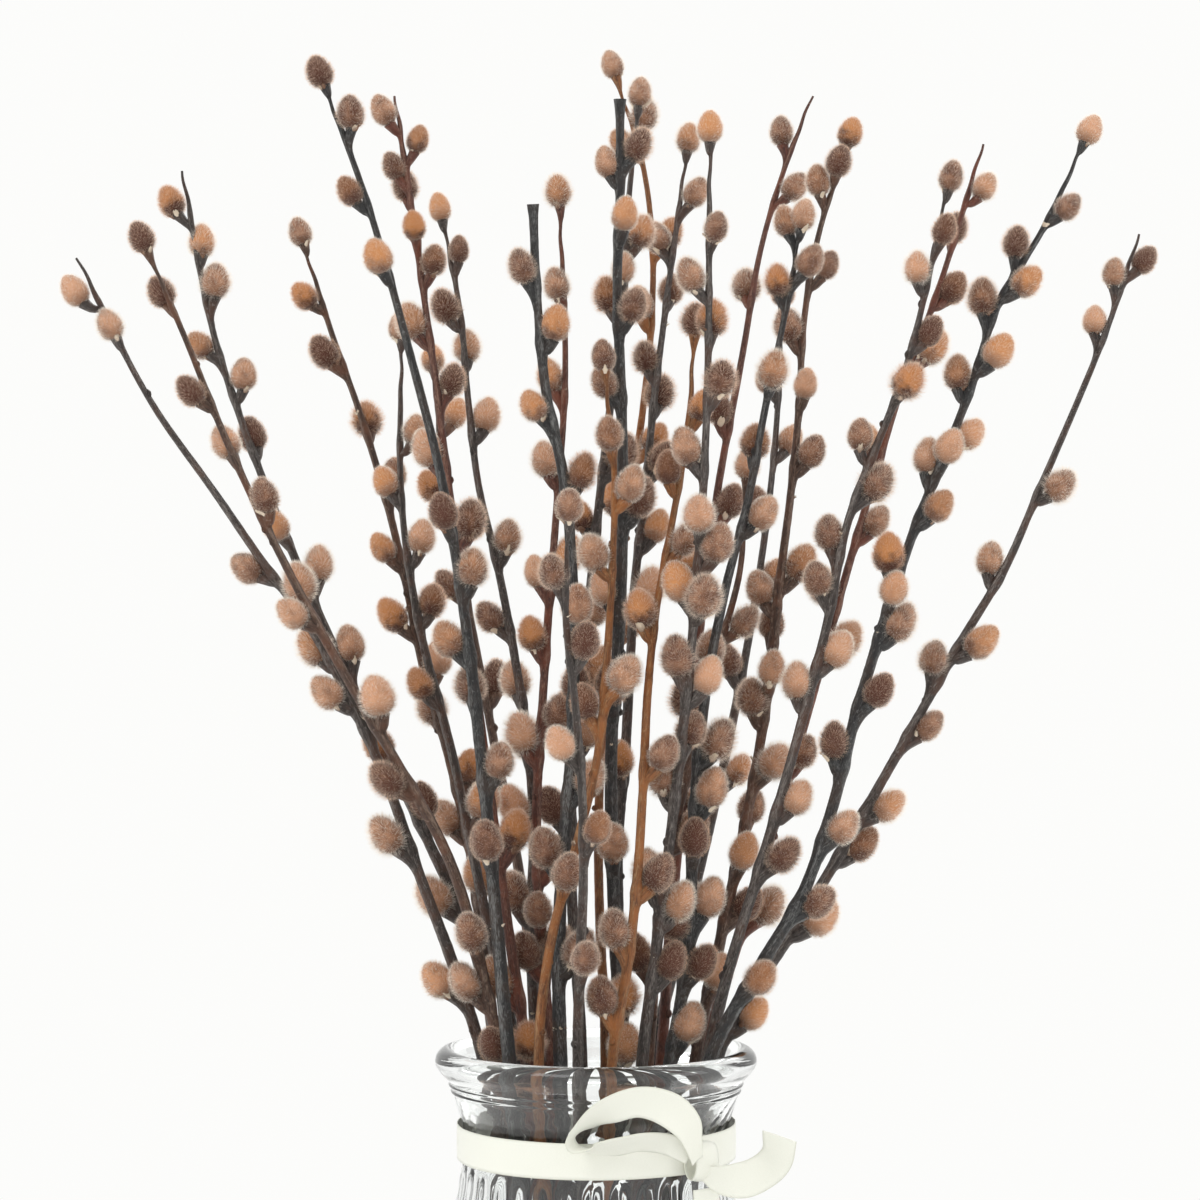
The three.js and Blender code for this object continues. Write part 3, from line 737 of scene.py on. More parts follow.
    @classmethod
    def closed_by(cls, centres: np.ndarray, radii: np.ndarray,
                  catkins: list[Catkin]) -> tuple[np.ndarray, np.ndarray]:
        """Carries the line on to the catkin that ends it, where one does.

        Args:
            centres: the rings' centres.
            radii: their radii.
            catkins: the stem's catkins, of which the one that ends it is marked.

        Returns:
            The centres and radii.
        """
        last, heading = centres[-1], unit(centres[-1] - centres[-2])
        for catkin in catkins:
            reach = catkin.base - last
            ahead = reach.dot(heading)
            aside = np.linalg.norm(reach - heading * ahead)
            aligned = catkin.axis.dot(heading) > cls.LEAST_ALIGNED
            if ahead > cls.SHORTEST_REACH and aside < cls.WIDEST_REACH * ahead and aligned:
                catkin.ends_stem = True
                end = catkin.base + catkin.axis * MM
                return np.vstack([centres, end]), np.append(radii, cls.END_RADIUS)
        return centres, radii


# ---------------------------------------------------------------- catkins


class Coat(Enum):
    """How a catkin's fur lies: (hairs, their length in mm, how far they stand off)."""

    SLEEK = (3200, 1.4, 1.7)
    SILKY = (3400, 1.8, 2.0)
    FLUFFY = (3500, 2.3, 2.4)
    OPEN = (3200, 2.8, 2.5)


@dataclass
class CatkinPattern:
    """One catkin, modelled once at its usual size with its base at the origin and its tip up."""

    coat: Coat
    seed: int
    middle: float = 7.3 * MM
    half_length: float = 6.3 * MM
    core_radius: float = 4.35 * MM
    hair_width: float = 0.080 * MM
    guard_share: float = 0.05
    knee: float = 0.6  # where a guard hair bends, as a share of its length
    points: np.ndarray = field(init=False)
    triangles: np.ndarray = field(init=False)
    quads: np.ndarray = field(init=False)
    coat_numbers: np.ndarray = field(init=False)

    def __post_init__(self) -> None:
        """Models the core and its fur."""
        dice = np.random.default_rng(self.seed)
        core, triangles, quads = self.core()
        count = self.coat.value[0]
        guards = int(count * self.guard_share)
        under = self.hairs(dice, count - guards, 1, len(core))
        outer = self.hairs(dice, guards, 2, len(core) + len(under[0]))
        self.points = np.concatenate([core, under[0], outer[0]])
        self.triangles = np.concatenate([triangles, under[1], outer[1]])
        self.quads = np.concatenate([quads, outer[2]])
        along = np.clip(self.points[:, 2:] / StemPlan.LENGTH, 0, 1)
        heights = np.concatenate([np.zeros(len(core)), under[3], outer[3]])[:, None]
        self.coat_numbers = np.concatenate([heights, along], axis=1)

    def core(self) -> tuple[np.ndarray, np.ndarray, np.ndarray]:
        """The egg under the fur, from a sphere drawn out and narrowed upwards.

        Returns:
            Its points, triangles and quads.
        """
        bpy.ops.object.select_all(action="DESELECT")
        bpy.ops.mesh.primitive_uv_sphere_add(segments=16, ring_count=10, radius=1)
        egg = bpy.context.object
        bpy.ops.object.mode_set(mode="EDIT")
        bpy.ops.mesh.select_all(action="SELECT")
        bpy.ops.transform.resize(value=(self.core_radius, self.core_radius, self.half_length))
        bpy.ops.transform.translate(value=(0, 0, self.middle))
        bpy.ops.object.mode_set(mode="OBJECT")
        points = np.array([vert.co for vert in egg.data.vertices])
        points[:, :2] *= self.narrowing(points[:, 2])[:, None]
        faces = [list(face.vertices) for face in egg.data.polygons]
        bpy.data.objects.remove(egg)
        triangles = np.array([face for face in faces if len(face) == 3])
        quads = np.array([face for face in faces if len(face) == 4])
        return points, triangles, quads

    def narrowing(self, height: np.ndarray) -> np.ndarray:
        """How much narrower the egg is than a plain one, by height."""
        return 1.07 - 0.20 * np.clip((height - self.middle) / self.half_length, -0.7, 1)

    def hairs(self, dice: np.random.Generator, count: int, joints: int, first: int) -> tuple:
        """Hairs over the egg, each a thin blade that bends towards the tip.

        Args:
            dice: random numbers.
            count: how many hairs.
            joints: lengths in each hair.
            first: the index of their first point.

        Returns:
            Points, triangles, quads and heights.
        """
        _, length, stand = self.coat.value
        lift = 1 - 2 * (np.arange(count) + 0.5) / count
        turn = dice.random(count) * TURN
        flat = np.sqrt(1 - lift**2)
        sphere = np.stack([flat * np.cos(turn), flat * np.sin(turn), lift], -1)
        root = sphere * [self.core_radius, self.core_radius, self.half_length] + UP * self.middle
        root[:, :2] *= self.narrowing(root[:, 2])[:, None]
        normal = unit(sphere / [self.core_radius, self.core_radius, self.half_length])
        jitter = dice.normal(0, 0.16, (count, 3))
        rise = 1.0 - 0.35 * np.clip(-lift, 0, 1)
        clump = 0.07 * np.sin(3 * turn + 5 * lift)[:, None] * np.cross(normal, UP)
        heading = unit(normal * stand + UP * rise[:, None] + jitter + clump)
        reach = (length * MM) * dice.uniform(0.62, 1.12, count)[:, None]
        reach *= (1.0 - 0.30 * np.clip(lift, 0, 1) ** 2 - 0.25 * np.clip(-lift, 0, 1) ** 3)[:, None]
        roll = dice.random(count)[:, None] * math.pi
        side = unit(np.cross(heading, normal + 0.001))
        across = side * np.cos(roll) + np.cross(heading, side) * np.sin(roll)
        across = across * self.hair_width * dice.uniform(0.7, 1.2, (count, 1))
        if joints == 1:
            rows = [root - across / 2, root + across / 2, root + heading * reach]
            heights = [np.zeros(count), np.zeros(count), np.ones(count)]
        else:
            bend = unit(heading + normal * 0.35)
            knee = root + bend * reach * self.knee
            rows = [root - across / 2, root + across / 2, knee + across * 0.35, knee - across * 0.35,
                    knee + unit(heading + UP * 0.55) * reach * 0.62]
            at_knee = np.full(count, self.knee)
            heights = [np.zeros(count), np.zeros(count), at_knee, at_knee, np.ones(count)]
        size = len(rows)
        points = np.stack(rows, 1).reshape(-1, 3)
        start = first + np.arange(count)[:, None] * size
        if joints == 1:
            triangles, quads = start + np.array([0, 1, 2]), np.zeros((0, 4), int)
        else:
            triangles, quads = start + np.array([3, 2, 4]), start + np.array([0, 1, 2, 3])
        return points, triangles, quads, np.stack(heights, 1).ravel()

    def placed(self, catkin: Catkin, dice: np.random.Generator) -> tuple[np.ndarray, np.ndarray]:
        """This catkin at its place on a stem.

        Args:
            catkin: where it sits.
            dice: random numbers for its turn and tone.

        Returns:
            Its points and the numbers of its coat.
        """
        start = dice.normal(size=3)
        _, side, other = carried_frames(np.stack([catkin.base, catkin.base + catkin.axis]), start)
        axes = np.stack([side[0], other[0], catkin.axis])
        plump = dice.uniform(0.92, 1.04)
        points = (self.points * [plump, plump, 1]) @ axes * catkin.size + catkin.base
        tone = np.clip(dice.normal(0.46, 0.27), 0, 1)
        rows = np.tile([tone, dice.random()], (len(points), 1))
        return points, np.concatenate([self.coat_numbers, rows], axis=1)


@dataclass
class Fur:
    """The catkins of one stem, as one furry piece."""

    name: str
    plan: StemPlan
    patterns: list[CatkinPattern]
    finish: bpy.types.Material
    seed: int

    def build(self) -> bpy.types.Object | None:
        """Copies the catkins to their places.

        Returns:
            The piece, or None on a bare stem.
        """
        if not self.plan.catkins:
            return None
        dice = np.random.default_rng(self.seed)
        heap = Heap()
        for catkin in self.plan.catkins:
            pattern = self.patterns[dice.choice(len(self.patterns), p=[0.3, 0.38, 0.22, 0.1])]
            points, coat = pattern.placed(catkin, dice)
            heap.add(points, [pattern.triangles, pattern.quads], {"coat": coat})
        piece = heap.piece(self.name, self.finish)
        rest_on(piece, "catkin_fur")
        return piece


# ---------------------------------------------------------------- stems


@dataclass
class Stem:
    """One stem's bark: ridged, knotted where catkins grow, with a spur under each."""

    name: str
    node: str
    plan: StemPlan
    slot: str
    finish: bpy.types.Material
    seed: int
    sides: int = 14
    step: float = 1.7 * MM
    ridge: float = 0.06  # depth of the wrinkles as a share of the radius
    knot: float = 0.26
    knot_reach: float = 3.2 * MM
    cup_radius: float = 2.35 * MM
    tip_reach: float = 24 * MM
    torn_radius: float = 1.2 * MM

    def build(self) -> bpy.types.Object:
        """Models the bark.

        Returns:
            The piece.
        """
        dice = np.random.default_rng(self.seed)
        heap = Heap()
        knots = np.concatenate([[0], np.cumsum(np.linalg.norm(np.diff(self.plan.centres, axis=0), axis=1))])
        at = np.linspace(0, knots[-1], max(int(knots[-1] / self.step), 4))
        line = smooth_line(knots, self.plan.centres, at)
        radii = np.interp(at, knots, self.plan.radii)
        spots = self.spots(line, at)
        swell = sum(np.exp(-(((at - spot) / self.knot_reach) ** 2)) for spot in spots) if spots else 0 * at
        radii = radii * (0.94 + self.knot * np.minimum(swell, 1))
        line, radii = self.ended(line, radii, knots[-1] - at, dice)
        self.tube(heap, line, radii, at / at[-1], dice)
        for catkin in self.plan.catkins:
            if not catkin.ends_stem:
                self.spur(heap, line, at, radii, catkin, dice)
        for _ in range(dice.integers(3, 7)):
            self.bud_scar(heap, line, radii, at, dice)
        piece = heap.piece(self.name, self.finish)
        rest_on(piece, self.slot, self.node)
        return piece

    def ended(self, line: np.ndarray, radii: np.ndarray, left: np.ndarray,
              dice: np.random.Generator) -> tuple[np.ndarray, np.ndarray]:
        """Finishes the stem's top: drawn out and crooked where it is bare, flared where it was torn off.

        Args:
            line: the stem's line.
            radii: its radius at each point.
            left: how far each point is from the top.
            dice: random numbers.

        Returns:
            The line and the radii.
        """
        if any(catkin.ends_stem for catkin in self.plan.catkins):
            return line, radii
        near = np.clip(1 - left / self.tip_reach, 0, 1)
        if self.plan.radii[-1] > self.torn_radius:
            return line, radii * (1 + 0.55 * near**6)
        phase = dice.uniform(0, TURN, 2)
        sway = np.stack([np.sin(left / MM * 0.42 + phase[0]), np.sin(left / MM * 0.35 + phase[1]),
                         0 * left], -1)
        return line + sway * near[:, None] * 0.4 * MM, radii * (1 - 0.5 * near**1.5)

    def spots(self, line: np.ndarray, at: np.ndarray) -> list[float]:
        """How far up the stem each side catkin grows.

        Args:
            line: the stem's line.
            at: distances along it.

        Returns:
            The distances.
        """
        return [
            float(at[np.argmin(np.linalg.norm(line - catkin.base, axis=1))])
            for catkin in self.plan.catkins
            if not catkin.ends_stem
        ]

    def tube(self, heap: Heap, line: np.ndarray, radii: np.ndarray, share: np.ndarray,
             dice: np.random.Generator, cut_ends: bool = True, sides: int | None = None) -> None:
        """Adds a ridged tube.

        Args:
            heap: where it goes.
            line: its centre line.
            radii: its radius at each point.
            share: how far up the stem each point is, from 0 to 1.
            dice: random numbers for the ridges.
            cut_ends: whether its ends show bare wood.
            sides: points round it, if not the stem's own.
        """
        sides = sides or self.sides
        turn = np.arange(sides) * TURN / sides
        _, side, other = carried_frames(line, np.array([1.0, 0.0, 0.05]))
        relief = np.zeros((len(line), sides))
        run = np.cumsum(np.r_[0, np.linalg.norm(np.diff(line, axis=0), axis=1)])
        for waves in (2, 3, 4, 6):
            drift = np.cumsum(dice.normal(0, 0.16, len(line)))
            strength = 0.6 + 0.4 * np.sin(run * dice.uniform(60, 190) + dice.uniform(0, TURN))
            relief += strength[:, None] * np.cos(waves * turn + drift[:, None]) / math.sqrt(waves)
        relief += dice.normal(0, 0.25, relief.shape)
        across = radii[:, None] * (1 + self.ridge * relief)
        rings = (line[:, None] + across[..., None] * (
            side[:, None] * np.cos(turn)[None, :, None] + other[:, None] * np.sin(turn)[None, :, None]))
        points = np.concatenate([rings.reshape(-1, 3), line[:1], line[-1:]])
        around = np.stack([np.cos(turn), np.sin(turn)], -1)
        grain = np.concatenate([
            np.tile(around, (len(line), 1)), np.repeat(run / (3 * MM), sides)[:, None]], axis=1)
        grain = np.concatenate([grain, [[0, 0, 0], [0, 0, run[-1] / (3 * MM)]]])
        rise = np.clip(0.5 + 0.25 * relief, 0, 1).ravel()
        growth = np.stack([rise, np.zeros_like(rise), np.repeat(share, sides)], -1)
        ends = float(cut_ends)
        growth = np.concatenate([growth, [[0.5, ends, share[0]], [0.5, ends, share[-1]]]])
        heap.add(points, tube_faces(len(line), sides), {"grain": grain, "growth": growth})

    def spur(self, heap: Heap, line: np.ndarray, at: np.ndarray, radii: np.ndarray, catkin: Catkin,
             dice: np.random.Generator) -> None:
        """Adds the flared spur that holds a catkin.

        Args:
            heap: where it goes.
            line: the stem's line.
            at: not used.
            radii: its radius at each point.
            catkin: the catkin.
            dice: random numbers.
        """
        spot = int(np.argmin(np.linalg.norm(line - catkin.base, axis=1)))
        low = max(spot - int(dice.uniform(6, 9) * MM / self.step), 0)
        middle = (low + spot) // 2
        radius = radii[low]
        cup = catkin.base + catkin.axis * 1.7 * MM * catkin.size
        out = unit(catkin.base - line[spot])
        knots = np.array([0.0, 0.35, 0.75, 1.0])
        path = np.stack([line[low] + out * radius * 0.15, line[middle] + out * radius * 0.45,
                         catkin.base * 0.72 + line[spot] * 0.28 - catkin.axis * 1.4 * MM, cup])
        end = self.cup_radius * catkin.size
        thick = np.array([radius * 0.82, radius * 0.92, (radius + end) / 2, end])
        steps = np.linspace(0, 1, 9)
        widths = smooth_line(knots, thick[:, None], steps)[:, 0]
        share = np.full(len(steps), spot / len(line))
        self.tube(heap, smooth_line(knots, path, steps), widths, share, dice, False, 9)

    def bud_scar(self, heap: Heap, line: np.ndarray, radii: np.ndarray, at: np.ndarray,
                 dice: np.random.Generator) -> None:
        """Adds a small bud pressed to the bark.

        Args:
            heap: where it goes.
            line: the stem's line.
            radii: its radius at each point.
            at: not used.
            dice: random numbers.
        """
        spot = int(dice.uniform(0.25, 0.93) * len(line))
        ahead = unit(line[min(spot + 1, len(line) - 1)] - line[spot - 1])
        out = unit(np.cross(ahead, dice.normal(size=3)))
        foot = line[spot] + out * radii[spot] * 0.7
        length = dice.uniform(1.6, 3.0) * MM
        path = np.stack([foot, foot + ahead * length * 0.5 + out * 0.5 * MM,
                         foot + ahead * length + out * 0.6 * MM])
        widths = np.array([0.55, 0.8, 0.15]) * radii[spot] * dice.uniform(0.5, 0.9)
        knots, steps = np.array([0.0, 0.5, 1.0]), np.linspace(0, 1, 5)
        self.tube(heap, smooth_line(knots, path, steps), smooth_line(knots, widths[:, None], steps)[:, 0],
                  np.full(5, spot / len(line)), dice, False, 7)


@dataclass
class BudScales:
    """The papery scales that cling under the catkins and where catkins have dropped."""

    finish: bpy.types.Material
    seed: int = 77
    length: float = 3.4 * MM
    width: float = 2.3 * MM
    rows: int = 4
    columns: int = 3
    ring: float = 2.1 * MM  # how far out they stand under a catkin
    stem_size: float = 0.7

    def leaf(self, dice: np.random.Generator) -> tuple[np.ndarray, np.ndarray, np.ndarray]:
        """One cupped scale, its foot at the origin and its tip up, facing outwards along X.

        Args:
            dice: random numbers for its torn edge.

        Returns:
            Its points, quads and the share along it of each point.
        """
        along = np.linspace(0, 1, self.rows + 1)
        across = np.linspace(-1, 1, self.columns + 1)
        spread = np.sin(np.pi * (0.22 + 0.66 * along)) ** 0.8
        up, side = np.meshgrid(along, across, indexing="ij")
        torn = dice.normal(0, 0.10, up.shape) * along[:, None]
        points = np.stack([
            (0.5 * up**1.6 - 0.35 * side**2 * spread[:, None]) * self.width + 0.15 * torn * self.length,
            side * spread[:, None] * self.width / 2,
            (up + torn * 1.2) * self.length], -1).reshape(-1, 3)
        start = (np.arange(self.rows)[:, None] * (self.columns + 1) + np.arange(self.columns)).reshape(-1, 1)
        quads = start + np.array([0, 1, self.columns + 2, self.columns + 1])
        return points, quads, up.ravel()

    def build(self, plans: list[StemPlan]) -> bpy.types.Object:
        """Sets the scales under the catkins.

        Args:
            plans: the stems.

        Returns:
            The piece.
        """
        dice = np.random.default_rng(self.seed)
        heap = Heap()
        for plan in plans:
            for catkin in plan.catkins:
                for _ in range(dice.choice([0, 1, 2, 3], p=[0.25, 0.3, 0.3, 0.15])):
                    self.set_scale(heap, catkin.base, catkin.axis, catkin.size, self.ring, dice)
            for _ in range(2):
                spot = dice.integers(2, max(len(plan.centres) - 1, 3))
                ahead = unit(plan.centres[spot] - plan.centres[spot - 1])
                for _ in range(3):
                    foot, radius = plan.centres[spot] - ahead * MM, plan.radii[spot] * 0.8
                    self.set_scale(heap, foot, ahead, self.stem_size, radius, dice)
        piece = heap.piece("bud_scales", self.finish)
        rest_on(piece, "catkin_fur")
        return piece

    def set_scale(self, heap: Heap, foot: np.ndarray, axis: np.ndarray, size: float, radius: float,
                  dice: np.random.Generator) -> None:
        """Adds one scale at a spot.

        Args:
            heap: where it goes.
            foot: the middle of the ring that it grows from.
            axis: the way that its tip points.
            size: its size against the usual one.
            radius: how far out it stands.
            dice: random numbers.
        """
        points, quads, along = self.leaf(dice)
        out = unit(np.cross(axis, dice.normal(size=3)))
        tilt = dice.uniform(-0.1, 0.55)
        tip = unit(axis + out * tilt)
        face = unit(out - tip * out.dot(tip))
        axes = np.stack([face, np.cross(tip, face), tip])
        placed = points @ axes * size * dice.uniform(0.7, 1.25) + foot + out * radius * size
        tone = np.clip(dice.normal(0.5, 0.3), 0, 1)
        coat = np.stack([along, along, np.full(len(along), tone), np.zeros(len(along))], -1)
        heap.add(placed, [quads], {"coat": coat})


# ---------------------------------------------------------------- vase


@dataclass
class Vase:
    """The pressed-glass vase: rounded lip, ringed and fluted neck, faceted body and flat foot."""

    finish: bpy.types.Material
    outline: tuple[tuple[float, float], ...] = (
        (43.0, 3.0), (48.5, 22.0), (53.5, 54.0), (50.5, 86.0), (44.8, 112.0), (44.2, 129.0), (49.3, 146.0))
    wall: float = 3.8
    floor_top: float = 12.0
    foot_radius: float = 41.0
    lip: tuple[float, float, float] = (49.4, 151.8, 4.2)  # centre's radius and height, and its own radius
    beads: tuple[float, ...] = (141.8, 144.0, 146.2)
    bead_height: float = 0.5
    bead_width: float = 0.62
    ringed_from: float = 139.0
    bore_top: float = 145.5
    heel: float = 4.0  # rounding between the bore and its floor
    body_span: tuple[float, ...] = (4, 16, 112, 121)  # heights where the facets start, are full, fade and end
    neck_span: tuple[float, ...] = (117, 124, 134, 140.5)
    flutes: int = 32
    steps: int = 256
    neck_depth: float = 0.4
    body_depth: float = 1.5
    neck_twist: float = 0.62
    body_twist: float = 0.10

    def build(self) -> bpy.types.Object:
        """Spins the section and presses the flutes into it.

        Returns:
            The piece.
        """
        section = self.section()
        mesh = bpy.data.meshes.new("vase_glass")
        mesh.from_pydata([(radius * MM, 0, height * MM) for radius, height in section],
                         [(index, index + 1) for index in range(len(section) - 1)], [])
        vase = bpy.data.objects.new("vase_glass", mesh)
        bpy.context.scene.collection.objects.link(vase)
        bpy.ops.object.select_all(action="DESELECT")
        bpy.context.view_layer.objects.active = vase
        vase.select_set(True)
        bpy.ops.object.mode_set(mode="EDIT")
        bpy.ops.mesh.select_all(action="SELECT")
        bpy.ops.mesh.spin(steps=self.steps, angle=TURN, center=(0, 0, 0), axis=(0, 0, 1))
        bpy.ops.mesh.select_all(action="SELECT")
        bpy.ops.mesh.remove_doubles(threshold=1e-6)
        bpy.ops.mesh.normals_make_consistent(inside=False)
        bpy.ops.mesh.faces_shade_smooth()
        bpy.ops.object.mode_set(mode="OBJECT")
        self.press_flutes(vase.data)
        vase.data.materials.append(self.finish)
        rest_on(vase, "vase_glass", "vase")
        return vase

    def wall_line(self) -> np.ndarray:
        """The outer wall from foot to lip as [radius, height] in millimetres."""
        rows = np.array(self.outline)
        heights = np.r_[np.linspace(rows[0, 1], self.ringed_from, 80, endpoint=False),
                        np.linspace(self.ringed_from, rows[-1, 1], 48)]
        radii = smooth_line(rows[:, 1], rows[:, :1], heights)[:, 0]
        return np.stack([radii, heights], -1)

    def section(self) -> list[tuple[float, float]]:
        """Half the vase's section, from the axis under the foot round the lip to the axis on its floor.

        Returns:
            The section's [radius, height] points in millimetres.
        """
        wall = self.wall_line()
        beads = sum(np.exp(-(((wall[:, 1] - height) / self.bead_width) ** 2)) for height in self.beads)
        outer = wall + np.stack([beads * self.bead_height, 0 * beads], -1)
        across, up, radius = self.lip
        turns = np.linspace(-0.75, math.pi + 0.35, 26)
        lip = np.stack([across + radius * np.cos(turns), up + radius * np.sin(turns)], -1)
        bored = (wall[:, 1] > self.floor_top + self.heel) & (wall[:, 1] < self.bore_top)
        inside = wall[bored][::-1] - [self.wall, 0]
        turn = np.linspace(0, math.pi / 2, 7)[1:]
        hollow = np.stack([inside[-1, 0] - self.heel + self.heel * np.cos(turn),
                           self.floor_top + self.heel - self.heel * np.sin(turn)], -1)
        foot = [(0, 1.2), (26, 1.2), (30, 0.2), (self.foot_radius - 1.5, 0), (self.foot_radius, 0.4)]
        floor = [(x, self.floor_top) for x in (30.0, 18.0, 8.0, 0.0)]
        return [*foot, *map(tuple, outer), *map(tuple, lip), *map(tuple, inside), *map(tuple, hollow), *floor]

    @staticmethod
    def spanned(height: np.ndarray, span: tuple[float, ...]) -> np.ndarray:
        """How full the flutes are at each height, rising and falling over a span."""
        start, full, fade, end = span
        rising = np.clip((height - start) / (full - start), 0, 1)
        return rising * (1 - np.clip((height - fade) / (end - fade), 0, 1))

    def press_flutes(self, mesh: bpy.types.Mesh) -> None:
        """Scoops flutes out of the outer wall, slanting on the neck and upright on the body.

        Args:
            mesh: the spun vase.
        """
        points = np.array([vert.co for vert in mesh.vertices]) / MM
        radius = np.hypot(points[:, 0], points[:, 1])
        height = points[:, 2]
        wall = self.wall_line()
        outside = radius > np.interp(height, wall[:, 1], wall[:, 0]) - self.wall / 2
        body = self.spanned(height, self.body_span)
        neck = self.spanned(height, self.neck_span)
        depth = (self.body_depth * body + self.neck_depth * neck) * outside
        twist = self.neck_twist * np.clip((height - 116) / 24, 0, 1) + self.body_twist * height / 156
        turn = np.arctan2(points[:, 1], points[:, 0]) - twist
        scoop = 0.5 - np.abs(np.cos(self.flutes * turn / 2))
        change = (radius + depth * scoop) / np.maximum(radius, 1e-6)
        points[:, :2] *= np.where(depth > 0, change, 1)[:, None]
        mesh.vertices.foreach_set("co", (points * MM).astype(np.float32).ravel())
        mesh.update()


# ---------------------------------------------------------------- ribbon


@dataclass
class RibbonStrip:
    """A length of ribbon: its middle line and the way its width lies, shorter where it is gathered."""

    name: str
    node: str
    line: np.ndarray
    widthwise: np.ndarray
    held: str
    rests: str
    finish: bpy.types.Material
    width: float = 11.7 * MM
    thickness: float = 0.28 * MM
    columns: int = 10
    crown: float = 0.25 * MM
    weave_length: float = 12 * MM
    closed: bool = False

    def build(self) -> bpy.types.Object:
        """Lays the strip and gives it its thickness.

        Returns:
            The piece.
        """
        across = np.linspace(-0.5, 0.5, self.columns + 1)
        ahead = unit(np.gradient(self.line, axis=0))
        widthwise = unit(self.widthwise - ahead * np.sum(self.widthwise * ahead, -1, keepdims=True))
        face = np.cross(ahead, widthwise)
        widthwise *= np.linalg.norm(self.widthwise, axis=-1, keepdims=True)
        bow = self.crown * (0.25 - across**2) * 4
        rows = (self.line[:, None] + widthwise[:, None] * (across * self.width)[None, :, None]
                + face[:, None] * bow[None, :, None])
        count, columns = len(self.line), self.columns + 1
        length = np.r_[0, np.cumsum(np.linalg.norm(np.diff(self.line, axis=0), axis=1))]
        weave = np.stack([np.tile(across + 0.5, count), np.repeat(length, columns) / self.weave_length,
                          np.zeros(count * columns)], -1)
        start = (np.arange(count - 1)[:, None] * columns + np.arange(self.columns)).reshape(-1, 1)
        quads = start + np.array([0, columns, columns + 1, 1])
        if self.closed:
            last = (count - 1) * columns + np.arange(self.columns)[:, None]
            seam = np.concatenate([last, last + 1], 1)
            home = np.arange(self.columns)[:, None]
            quads = np.concatenate([quads, np.concatenate([seam[:, :1], home, home + 1, seam[:, 1:]], 1)])
            length = np.r_[length, length[-1] + np.linalg.norm(self.line[0] - self.line[-1])]
        heap = Heap()
        heap.add(rows.reshape(-1, 3), [quads], {"weave": weave})
        piece = heap.piece(self.name, self.finish)
        bpy.ops.object.select_all(action="DESELECT")
        bpy.context.view_layer.objects.active = piece
        piece.select_set(True)
        thick = piece.modifiers.new("thickness", "SOLIDIFY")
        thick.thickness, thick.offset = self.thickness, 0
        bpy.ops.object.modifier_apply(modifier=thick.name)
        rest_on(piece, "ribbon_satin", self.node)
        return piece


